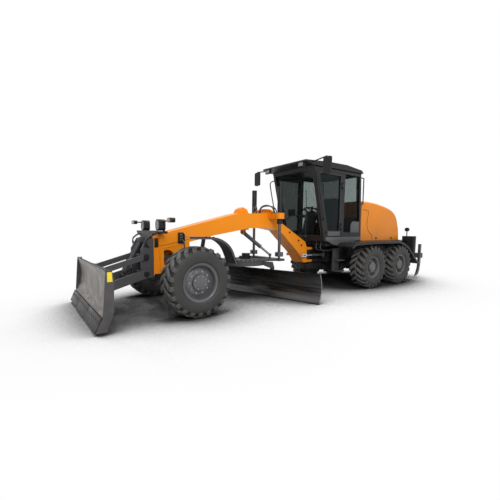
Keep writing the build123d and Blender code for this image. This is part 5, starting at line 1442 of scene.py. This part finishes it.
# %% Hoses
def hose(name, route, radius, body, side):
    """A rubber hose on one side along points from the front axle, riding on one body; gives back its length.
    """
    points = [at(x, side * y, z) for x, y, z in route]
    line = round_line(name, points, radius, sides=3, steps=8)
    line.materials.append(plastic)
    piece = put(name, line)
    length = line.splines[0].calc_length()
    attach(piece, body)
    return round(length, 2)


lengths = []
for label, side in SIDES.items():
    for k, y in enumerate((0.06, 0.12)):
        start = Vector((-2.14 + 0.03 * k, y, 1.829))
        end = Vector((-2.36 - 0.03 * k, 0.30 + 0.05 * k, 1.832))
        middle = (start + end) / 2 + Vector((0.02, 0, 0.20 - 0.03 * k))
        route = [start, start + Vector((0.01, 0, 0.12)), middle, end + Vector((0, 0, 0.12)), end]
        lengths.append(hose(f"lift_hose_{label}_{k + 1}", route, 0.013, "front_unit", side))
    fall = [(-0.110, 0.240, 1.262), (-0.112, 0.330, 1.262), (-0.120, 0.345, 1.05), (-0.090, 0.335, 0.84),
            (-0.035, 0.335, 0.669)]
    lengths.append(hose(f"axle_hose_{label}", fall, 0.012, "front_unit", side))
    for k in range(2):
        y, step_y = 0.520 - 0.130 * k, 0.53 - 0.08 * k
        loop = [(-4.241, step_y, 0.960), (-4.000, step_y, 0.955), (-3.800, y + 0.03, 0.955),
                (-3.690, y + 0.02, 0.990), (-3.715, y, 1.095), (-3.735, y, 1.189)]
        lengths.append(hose(f"valve_hose_{label}_{k + 1}", loop, 0.013, "rear_unit", side))
        drop = [(0.492, 0.330 + 0.045 * k, 1.372 + 0.012 * k), (0.560, 0.340 + 0.045 * k, 1.345),
                (0.640, 0.350 + 0.030 * k, 1.270), (0.635 - 0.045 * k, 0.335, 1.160),
                (0.585 - 0.045 * k, 0.301, 1.135)]
        lengths.append(hose(f"dozer_hose_{label}_{k + 1}", drop, 0.011, "front_unit", side))
print("hoses:", lengths)

# %% [markdown]
# ## Pin caps
# The front blade's arms turn on pins with round retaining caps. They could be bolts from the tree, but a
# cap has steps, so it is a turned part, laid on the carrier's cheeks.

# %% Pin caps
PIN_CAP = [(0.050, 0.0), (0.050, 0.010), (0.044, 0.017), (0.020, 0.017), (0.018, 0.024), (0.0, 0.025)]
PIN_HEIGHTS = (0.680, 0.980)
bm_cap = bmesh.new()
for side in SIDES.values():
    for z in PIN_HEIGHTS:
        add_turned(bm_cap, at(0.620, side * 0.3652, z), (0, side, 0), PIN_CAP, 28)
settle(bm_cap, "dozer_pin_caps", black, "front_unit")
print("pin caps:", len(SIDES) * len(PIN_HEIGHTS))

# %% [markdown]
# ## Plate bolts
# A ring of bolts holds the round plate of the drawbar. A full ring would run into other parts, so a bolt is
# left out where a leg, the tongue or the swing motor covers it.

# %% Plate bolts
PLATE_X, PLATE_RING, PLATE_COUNT, PLATE_TOP = -1.700, 0.432, 28, 0.801
LEG_X, SPARE = 0.9, 0.03
MOTOR_LOW, MOTOR_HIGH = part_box("swing_motor")
ring = []
for a in (2 * pi * k / PLATE_COUNT for k in range(PLATE_COUNT)):
    x, y = PLATE_X + PLATE_RING * cos(a), PLATE_RING * sin(a)
    leg_in, leg_out = 0.030 - 0.2244 * (x + LEG_X), 0.090 - 0.2628 * (x + LEG_X)
    under_leg = leg_in - SPARE < abs(y) < leg_out + SPARE
    under_tongue = abs(y) < 0.10 and x > -1.42
    along_motor = MOTOR_LOW.x - SPARE < AXLE_X + x < MOTOR_HIGH.x + SPARE
    by_motor = along_motor and MOTOR_LOW.y - SPARE < y < MOTOR_HIGH.y + SPARE
    if not (under_leg or under_tongue or by_motor):
        ring.append((at(x, y, PLATE_TOP), (0, 0, 1)))
bolt_on("circle_plate_bolts", ring, black, "drawbar", "black_paint", radius=0.014, height=0.026)
print("plate bolts:", len(ring), "of", PLATE_COUNT)

# %% [markdown]
# ## Lock bar
# Across the saddle stands a lock bar, a curved plate with a row of holes. Its outline is half an
# ellipse over a straight foot, and the holes are low black bolt heads, painted shade where the holes are.

# %% Lock bar
BAR_X, BAR_HALF, BAR_RISE, BAR_STEPS = -2.315, 0.330, 0.075, 16
bm_bar = bmesh.new()
turns = [pi * k / BAR_STEPS for k in range(BAR_STEPS + 1)]
arch = [at(BAR_X, -BAR_HALF * cos(a), 1.862 + BAR_RISE * sin(a)) for a in turns]
foot = [at(BAR_X, BAR_HALF, 1.842), at(BAR_X, -BAR_HALF, 1.842)]
add_plate(bm_bar, foot + arch, (0.022, 0, 0), bevel=0.004)
for y in (-0.22, 0.22):
    add_block(bm_bar, at(-2.350, y - 0.035, 1.846), at(-2.305, y + 0.035, 1.892), bevel=0.006)
settle(bm_bar, "saddle_lock_bar", orange, "front_unit")
# Low black heads where the holes are: painted shade.
painted_hole_shades = [(at(-2.292, 0.075 * k, 1.893 - 0.006 * abs(k)), (1, 0, 0)) for k in range(-3, 4)]
bolt_on("lock_bar_holes", painted_hole_shades, black, "front_unit", "black_paint", radius=0.011, height=0.007)
print("lock bar with", len(painted_hole_shades), "painted_hole_shades")

# %% [markdown]
# The dressed machine has to stay inside the box of the solids.
